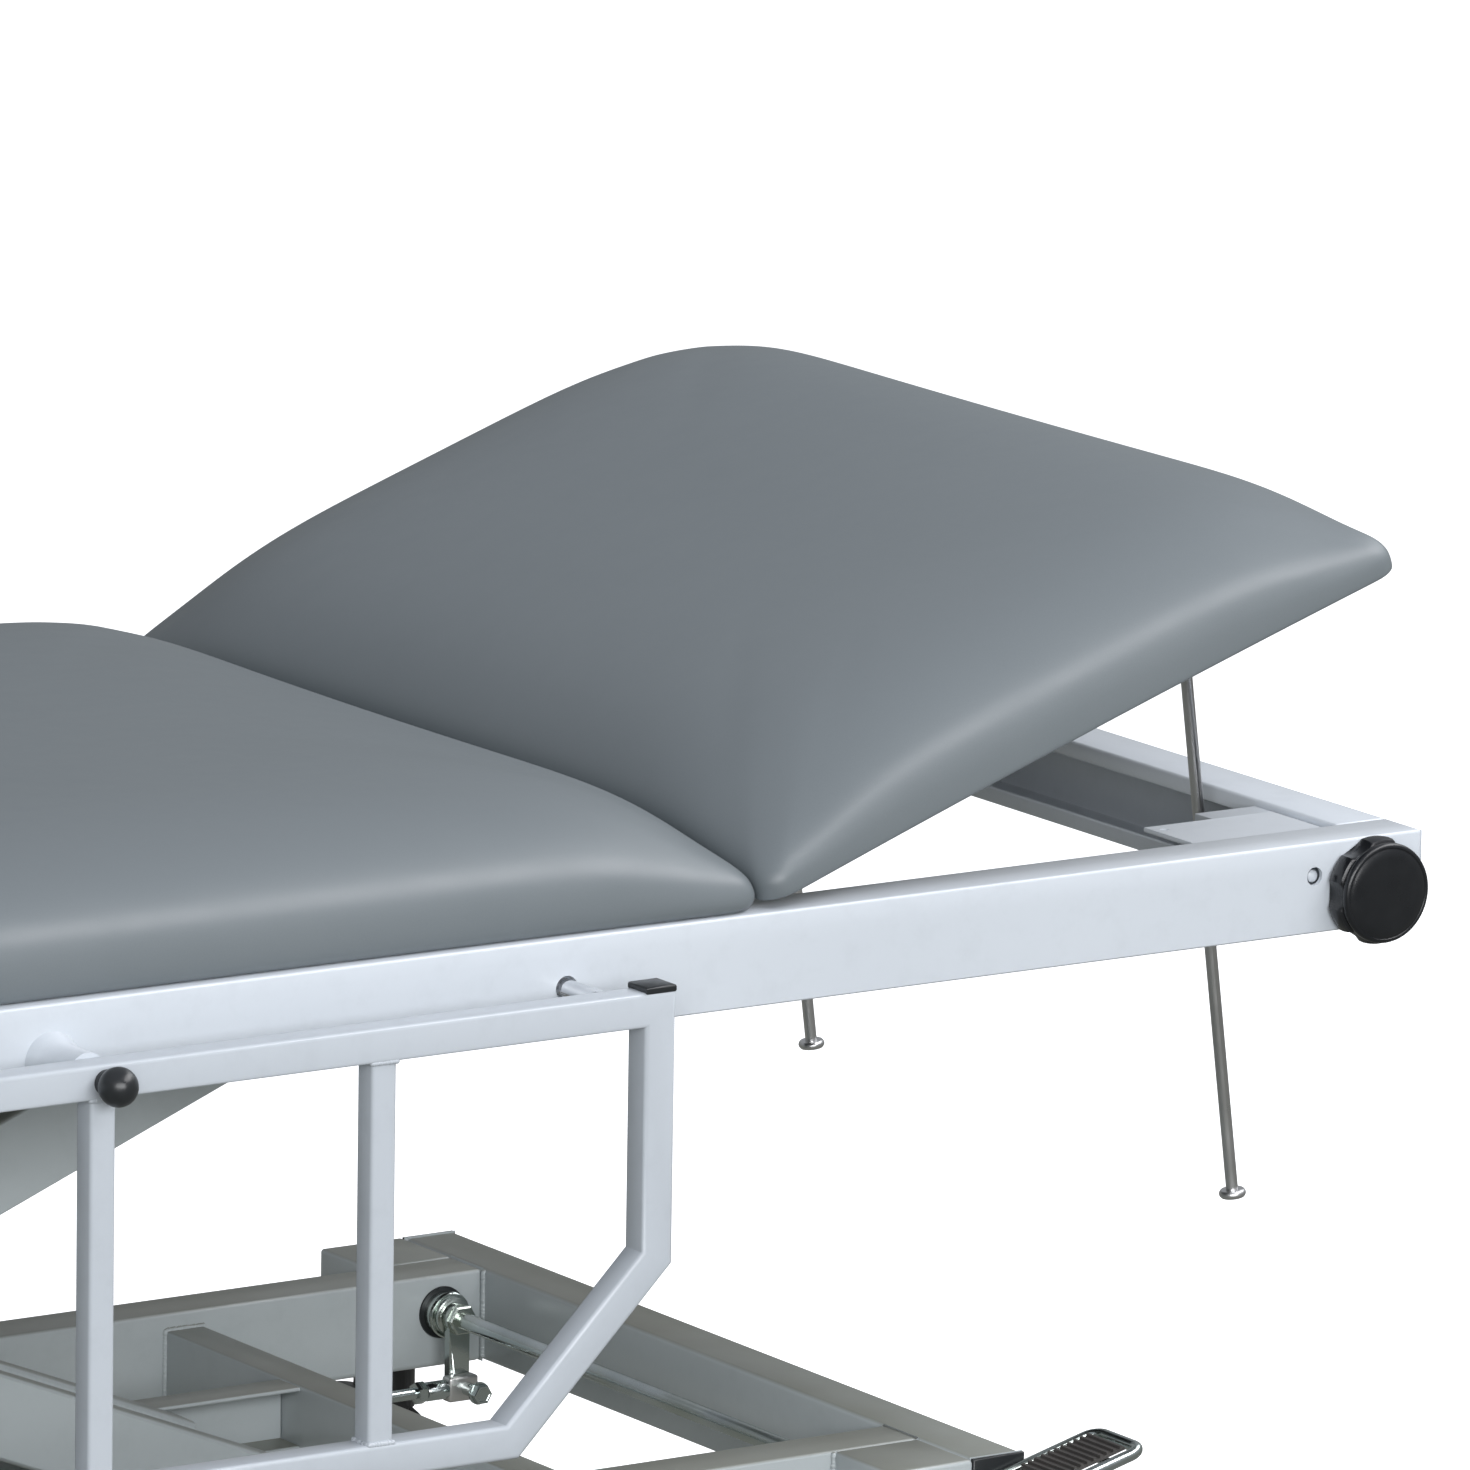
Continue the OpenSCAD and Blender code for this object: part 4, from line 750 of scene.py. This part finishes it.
def skin(name, bm, finish, body, angle=SHARP_FROM):
    """A closed piece with soft shading, whose edges are sharp from the angle on."""
    soften(bm)
    obj = piece(name, bm, finish, body)
    obj.data.set_sharp_from_angle(angle=math.radians(angle))
    return obj


def finished(name, bm, finish, body, node, angle=SHARP_FROM):
    """A skin that stands for a node."""
    obj = skin(name, bm, finish, body, angle)
    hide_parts(node)


def turned(name, body, finish, at, axis, profile, sides=40):
    turn = Vector((0, 0, 1)).rotation_difference(Vector(axis)).to_matrix()
    rings = [[Vector(at) + turn @ Vector((radius * math.cos(t), radius * math.sin(t), along))
              for t in whole_turn(sides)] for radius, along in profile]
    bm = bmesh.new()
    closed_rings(bm, rings)
    skin(name, bm, finish, body)


def wheel_ring(x, z, y, radius, sides=40):
    """A closed circular path about an axis along Y."""
    return loop_path([Vector((x + radius * math.cos(t), y, z + radius * math.sin(t))) for t in whole_turn(sides)])


def lift_welds(tree):
    """Where the cross tubes meet the arms."""
    outer = [wheel_ring(-0.4828, 0.2546, s * 0.2137, 0.0203) for s in (-1, 1)]
    inner = [wheel_ring(x, z, s * 0.0397, 0.0153) for s in (-1, 1) for x, z in ((-0.5506, 0.544), (0.2444, 0.2275))]
    weld("outer_arm_welds", "outer_frame", "base_paint", tree, outer, 0.0022, 0.0014)
    weld("inner_arm_welds", "inner_frame", "base_paint", tree, inner, 0.0022, 0.0014)


def fasteners():
    """Bolts, rivets and pin ends, one piece for each body that carries them."""
    hexes, domes, caps = hex_head_tree("steel"), domed_head_tree("steel"), domed_head_tree("hub")
    outward, inward = [(0, -1, 0), (0, 1, 0)], [(0, 1, 0), (0, -1, 0)]

    def pair(x, half_y, z, mid_y=0.0):
        return [Vector((x, mid_y + s * half_y, z)) for s in (-1, 1)]

    for i in range(1, 5):
        x, y = (-0.723, 0.659)[i > 2], (0.315, -0.315)[i % 2]
        grown("castor_nuts_%d" % i, "castor_swivel_%d" % i, "steel", hexes, pair(x, 0.0205, AXLE_Z, y),
              axes=outward, spins=[0.4, 1.3], head_radius=0.0085, head_height=0.0055, washer_radius=0.0098)
        grown("castor_caps_%d" % i, "castor_wheel_%d" % i, "hub", caps, pair(x, 0.0148, AXLE_Z, y),
              axes=outward, head_radius=0.031, head_height=0.0016)
    grown("lower_pivot_heads", "base", "steel", hexes, pair(-0.65, 0.204, 0.188), axes=inward,
          head_radius=0.012, washer_radius=0.0145)
    grown("upper_pivot_heads", "top_frame", "steel", hexes, pair(-0.65, 0.08, 0.5835), axes=outward,
          head_radius=0.012, washer_radius=0.0145)
    grown("centre_shaft_heads", "outer_frame", "steel", hexes, pair(-0.1531, 0.238, 0.38575), axes=outward,
          head_radius=0.014, head_height=0.0035, washer_radius=0.0175)
    raised = head_turn(HEAD_TILT)
    down = raised.to_3x3() @ Vector((0, 0, -1))
    screws = [raised @ Vector((x, y + s * 0.0228, HINGE_Z))
              for y in (-0.28, 0.0, 0.28) for s in (-1, 1) for x in (0.5385, 0.556)]
    grown("hinge_screws", "head_section", "steel", domes, screws, axes=[down] * len(screws))
    pins = [raised @ Vector((0.965, y + s * 0.012, HINGE_Z)) for y in (-0.25, 0.25) for s in (-1, 1)]
    grown("rod_pin_heads", "head_section", "steel", domes, pins, axes=outward * 2,
          head_radius=0.0058, head_height=0.003)


def cover_edges():
    """Vinyl turned under each board and stapled to it."""
    staples = staple_tree("steel")
    edge, inner, half_w = 0.016, 0.052, 0.4
    row_inset, row_y, pitch = 0.06, 0.3535, 0.035
    cross_inset, cross_y, cross_count = 0.0475, 0.33, 18
    for name, body, x0, x1, tilt in (("seat", "top_frame", -1.03, 0.508, 0.0),
                                     ("head", "head_section", 0.54, 1.03, HEAD_TILT)):
        turn = head_turn(tilt)
        bm = bmesh.new()
        rings = []
        for inset, z in ((edge, COVER_ROOT), (edge, BOARD_UNDERSIDE), (inner, BOARD_UNDERSIDE), (inner, COVER_ROOT)):
            box = ((x0 + inset, -half_w + inset), (x1 - inset, -half_w + inset),
                   (x1 - inset, half_w - inset), (x0 + inset, half_w - inset))
            rings.append([bm.verts.new(turn @ Vector((x, y, z))) for x, y in box])
        for a, b in zip(rings, rings[1:] + rings[:1]):
            for k in range(4):
                bm.faces.new((a[k], a[(k + 1) % 4], b[(k + 1) % 4], b[k]))
        bmesh.ops.recalc_face_normals(bm, faces=bm.faces)
        piece(name + "_cover_edge", bm, "vinyl", body)
        spots, spins = [], []
        length = x1 - x0 - 2 * row_inset
        count = int(length / pitch)
        for k in range(count + 1):
            x = x0 + row_inset + length * k / count
            for s in (-1, 1):
                spots.append(turn @ Vector((x, s * row_y, BOARD_UNDERSIDE)))
                spins.append(0.25 * math.sin(7.0 * k + s))
        rows = (x0 + cross_inset, x1 - cross_inset) if name == "seat" else (x0 + cross_inset,)
        for k in range(cross_count + 1):
            for x in rows:
                spots.append(turn @ Vector((x, -cross_y + 2 * cross_y * k / cross_count, BOARD_UNDERSIDE)))
                spins.append(math.pi / 2 + 0.2 * math.sin(5.0 * k))
        down = turn.to_3x3() @ Vector((0, 0, -1))
        grown(name + "_staples", body, "steel", staples, spots, axes=[down] * len(spots), spins=spins)


# Radius and place along the axis of each turned piece
WASHER_PROFILE = [(0.0125, 0.0), (0.0176, 0.0), (0.018, 0.0004), (0.0178, 0.0016), (0.0125, 0.0018)]
COLLAR_RINGS_PROFILE = [(0.0148, 0.0085), (0.0157, 0.0092), (0.0159, 0.0102), (0.0153, 0.0112), (0.0146, 0.0118),
                        (0.0124, 0.0122), (0.0122, 0.0138), (0.0132, 0.0143), (0.0131, 0.0156), (0.0118, 0.0162),
                        (0.0066, 0.0165)]
CRANK_NUT_PROFILE = [(0.0104, 0.0), (0.0108, 0.001), (0.0108, 0.0052), (0.0098, 0.006), (0.0066, 0.0062)]
LINK_SLEEVE_PROFILE = [(0.0048, 0.0), (0.0064, 0.0004), (0.0066, 0.0012), (0.0066, 0.0155), (0.006, 0.0165),
                       (0.0045, 0.0168)]
LINK_NUT_PROFILE = [(0.0045, 0.0), (0.0074, 0.0006), (0.0078, 0.0014), (0.0078, 0.0068), (0.0074, 0.0077),
                    (0.0045, 0.008)]
LINK_BOLT_PROFILE = [(0.0046, 0.0), (0.0046, 0.0135), (0.0062, 0.0137), (0.0078, 0.0142), (0.0079, 0.0155),
                     (0.0062, 0.0158)]
BOLT_HEAD_PROFILE = [(0.0068, 0.0), (0.0072, 0.0004), (0.0072, 0.0044), (0.0066, 0.0054), (0.0052, 0.0056),
                     (0.0046, 0.0052)]
CLAMP_PIN_PROFILE = [(0.0044, 0.0), (0.0044, 0.034), (0.004, 0.0362), (0.0028, 0.0372), (0.0005, 0.0376)]


def brake_fittings():
    """Washers and rings at the head-end collars, and the jointed ends of the far link."""
    for s in (-1, 1):
        turned("brake_washer_%d" % (s > 0), "base", "black_plastic", (BRAKE_X, s * 0.2432, BRAKE_Z), (0, -s, 0),
               WASHER_PROFILE)
        turned("brake_rings_%d" % (s > 0), "base", "zinc", (BRAKE_X, s * 0.243, BRAKE_Z), (0, -s, 0),
               COLLAR_RINGS_PROFILE)
    for e, bar in ((1, "brake_head"), (-1, "brake_foot")):
        x, end = e * BRAKE_X, "head" if e > 0 else "foot"
        turned("crank_nut_" + end, bar, "zinc", (x, 0.2202, BRAKE_Z), (0, -1, 0), CRANK_NUT_PROFILE, 6)
        bm = bmesh.new()
        made = bmesh.ops.create_cube(bm, size=1.0)["verts"]
        bmesh.ops.scale(bm, vec=(0.023, 0.0105, 0.0172), verts=made)
        bmesh.ops.translate(bm, vec=(x - e * 0.0025, 0.2147, LINK_Z), verts=made)
        bmesh.ops.bevel(bm, geom=bm.edges[:], offset=0.0018, segments=3, profile=0.5, affect="EDGES")
        for f in bm.faces:
            f.smooth = True
        block = piece("link_block_" + end, bm, "bright_zinc", "brake_link")
        block.data.set_sharp_from_angle(angle=math.radians(40))
        turned("link_sleeve_" + end, "brake_link", "zinc", (x - e * 0.0135, LINK_Y, LINK_Z), (-e, 0, 0),
               LINK_SLEEVE_PROFILE, 28)
        turned("link_nut_" + end, "brake_link", "zinc", (x - e * 0.0305, LINK_Y, LINK_Z), (-e, 0, 0),
               LINK_NUT_PROFILE, 6)
        turned("link_bolt_" + end, bar, "zinc", (x, 0.2098, LINK_Z), (0, -1, 0), LINK_BOLT_PROFILE, 28)
        turned("link_bolt_head_" + end, bar, "zinc", (x, 0.1942, LINK_Z), (0, -1, 0), BOLT_HEAD_PROFILE, 6)


# Radius, distance from the rail and share of the finger hollows, from the screw's inner end to the face's middle
KNOB_PROFILE = [(0.0042, -0.0958, 0), (0.005, -0.095, 0), (0.005, 0.0, 0), (0.029, 0.0, 0), (0.0332, 0.0009, 0.4),
                (0.0348, 0.003, 1), (0.0351, 0.0075, 1), (0.0348, 0.0122, 1), (0.034, 0.0146, 0.8),
                (0.0324, 0.0155, 0.1), (0.0316, 0.0157, 0), (0.0323, 0.0162, 0), (0.0329, 0.0171, 0),
                (0.0329, 0.0192, 0), (0.0323, 0.0207, 0), (0.0309, 0.0215, 0), (0.0301, 0.0215, 0),
                (0.0297, 0.0211, 0), (0.0292, 0.0211, 0), (0.0286, 0.0216, 0), (0.0235, 0.0221, 0),
                (0.016, 0.0225, 0), (0.008, 0.0227, 0), (0.0006, 0.0228, 0)]


def star_knob(side, s):
    """Six-lobed knob with its screw, and the end of the clamp's pin beside it."""
    x, y, z = 0.988, 0.4003, 0.581
    sides, hollows, hollow_depth = 96, 6, 0.0042
    rings = []
    for radius, out, share in KNOB_PROFILE:
        ring = []
        for t in whole_turn(sides):
            r = radius - hollow_depth * share * max(0.0, math.cos(hollows * t)) ** 0.7
            ring.append(Vector((x + r * math.cos(t), s * (y + out), z + r * math.sin(t))))
        rings.append(ring)
    bm = bmesh.new()
    closed_rings(bm, rings)
    finished("hand_knob_" + side, bm, "gloss_black", "star_knob_" + side, "star_knob_" + side, 40)
    turned("clamp_pin_" + side, "top_frame", "frame_paint", (0.9462, s * 0.3595, 0.5922), (0, s, 0),
           CLAMP_PIN_PROFILE, 28)


def rounded_square(size, radius):
    """Points round a square with rounded corners about the origin."""
    half, steps = size / 2 - radius, 3
    out = []
    for i, (cu, cv) in enumerate(((half, half), (-half, half), (-half, -half), (half, -half))):
        for k in range(steps + 1):
            t = math.radians(90 * i + 90 * k / steps)
            out.append((cu + radius * math.cos(t), cv + radius * math.sin(t)))
    return out


def guard_frame(side, s):
    """Square tube bent round the guard's outline with mitred corners, its inner bars and its pivot stub."""
    bm = bmesh.new()
    post, corner, knee, low = 0.402, 0.29686, 0.42014, 0.315
    path = [Vector(p) for p in ((-post, GUARD_PIVOT_Z), (-post, knee), (-corner, low), (corner, low), (post, knee),
                                (post, GUARD_PIVOT_Z))]
    section = rounded_square(0.0222, 0.003)
    rings = []
    for i, p in enumerate(path):
        ahead, behind = path[(i + 1) % len(path)] - p, p - path[i - 1]
        n1, n2 = (Vector((d.y, -d.x)).normalized() for d in (behind, ahead))
        mitre = (n1 + n2) / (1 + n1.dot(n2))
        rings.append([bm.verts.new((p.x + u * mitre.x, s * (GUARD_Y + v), p.y + u * mitre.y))
                      for u, v in section])
    for a, b in zip(rings, rings[1:] + rings[:1]):
        for k in range(len(a)):
            bm.faces.new((a[k], a[(k + 1) % len(a)], b[(k + 1) % len(a)], b[k]))
    bar = rounded_square(0.018, 0.0025)
    for x in GUARD_BARS:
        closed_rings(bm, [[Vector((x + u, s * (GUARD_Y + v), z)) for u, v in bar] for z in (0.324, 0.57)])
    stub = ((0.0075, 0.402), (0.008, 0.4026), (0.008, 0.444))
    closed_rings(bm, [[Vector((r * math.cos(t), s * y, GUARD_PIVOT_Z + r * math.sin(t)))
                       for t in whole_turn(32)] for r, y in stub])
    finished("guard_frame_" + side, bm, "guard_paint", "guard_" + side, "guard_" + side)


def pedal_tread():
    """Thin tread with fine cross ribs, in line with the bar loop round it."""
    z0, z1, z2 = 0.0025, 0.0046, 0.0062
    x0, x1, y0, y1 = 0.063, 0.1205, -0.3985, -0.3605
    count = 11
    pitch = (x1 - x0) / count
    line = [(x0, z0), (x0, z1)]
    for i in range(count):
        a = x0 + (i + 0.22) * pitch
        line += [(a, z1), (a + 0.12 * pitch, z2), (a + 0.44 * pitch, z2), (a + 0.56 * pitch, z1)]
    line += [(x1, z1), (x1, z0)]
    turn = Matrix.Translation((BRAKE_X, 0.0, BRAKE_Z)) @ Matrix.Rotation(-math.radians(15.0), 4, "Y")
    bm = bmesh.new()
    closed_rings(bm, [[turn @ Vector((x, y, z)) for x, z in line] for y in (y0, y1)])
    finished("pedal_tread", bm, "rubber_tread", "brake_head", "brake_pedal")


make_camera()
make_studio()
for name, obj in frame["nodes"].items():
    paint(obj, SLOT_OF[name])

# Edge radius by the start of a node's name. The other nodes keep their edges.
EDGE_RADIUS = {"side_rail": 0.0022, "end_rails": 0.0022, "base_rail": 0.0035, "base_end_rails": 0.0035,
               "castor_housings": 0.003, "base_end_plugs": 0.0012, "guard_caps": 0.0014,
               "outer_arms": 0.003, "inner_arms": 0.003, "rod_clamps": 0.0008,
               "base_cross": 0.002, "top_cross": 0.002, "lower_tracks": 0.001, "upper_tracks": 0.001,
               "outer_cross_tube": 0.001, "castor_fork": 0.001, "head_hinges": 0.0008, "head_rod_lugs": 0.0006}
MADE_ANEW = ("seat_cushion", "head_cushion", "guard_near", "guard_far", "star_knob", "brake_pedal")
for node in frame["nodes"]:
    if not node.startswith(MADE_ANEW):
        rounded(node, next((r for start, r in EDGE_RADIUS.items() if node.startswith(start)), 0.0))

make_cushion("seat_cushion", "top_frame", -1.03, 0.5235, tilt=0.0, full=1.04, tuck=1.0,
             draws=(0.004, 0.004, 0.004, 0.010), along=92, across=50)
make_cushion("head_cushion", "head_section", 0.530, 1.047, tilt=HEAD_TILT, full=1.0, tuck=0.4,
             draws=(0.004, 0.009, 0.004, 0.004), along=38, across=60)

weld_frame, weld_base, weld_guard = map(weld_tree, ("frame_paint", "base_paint", "guard_paint"))
for side in SIDES:
    guard_welds(side, weld_guard)
    guard_frame(side, SIDES[side])
    star_knob(side, SIDES[side])
base_welds(weld_base)
top_welds(weld_frame)
lift_welds(weld_base)
fasteners()
cover_edges()
brake_fittings()
pedal_tread()
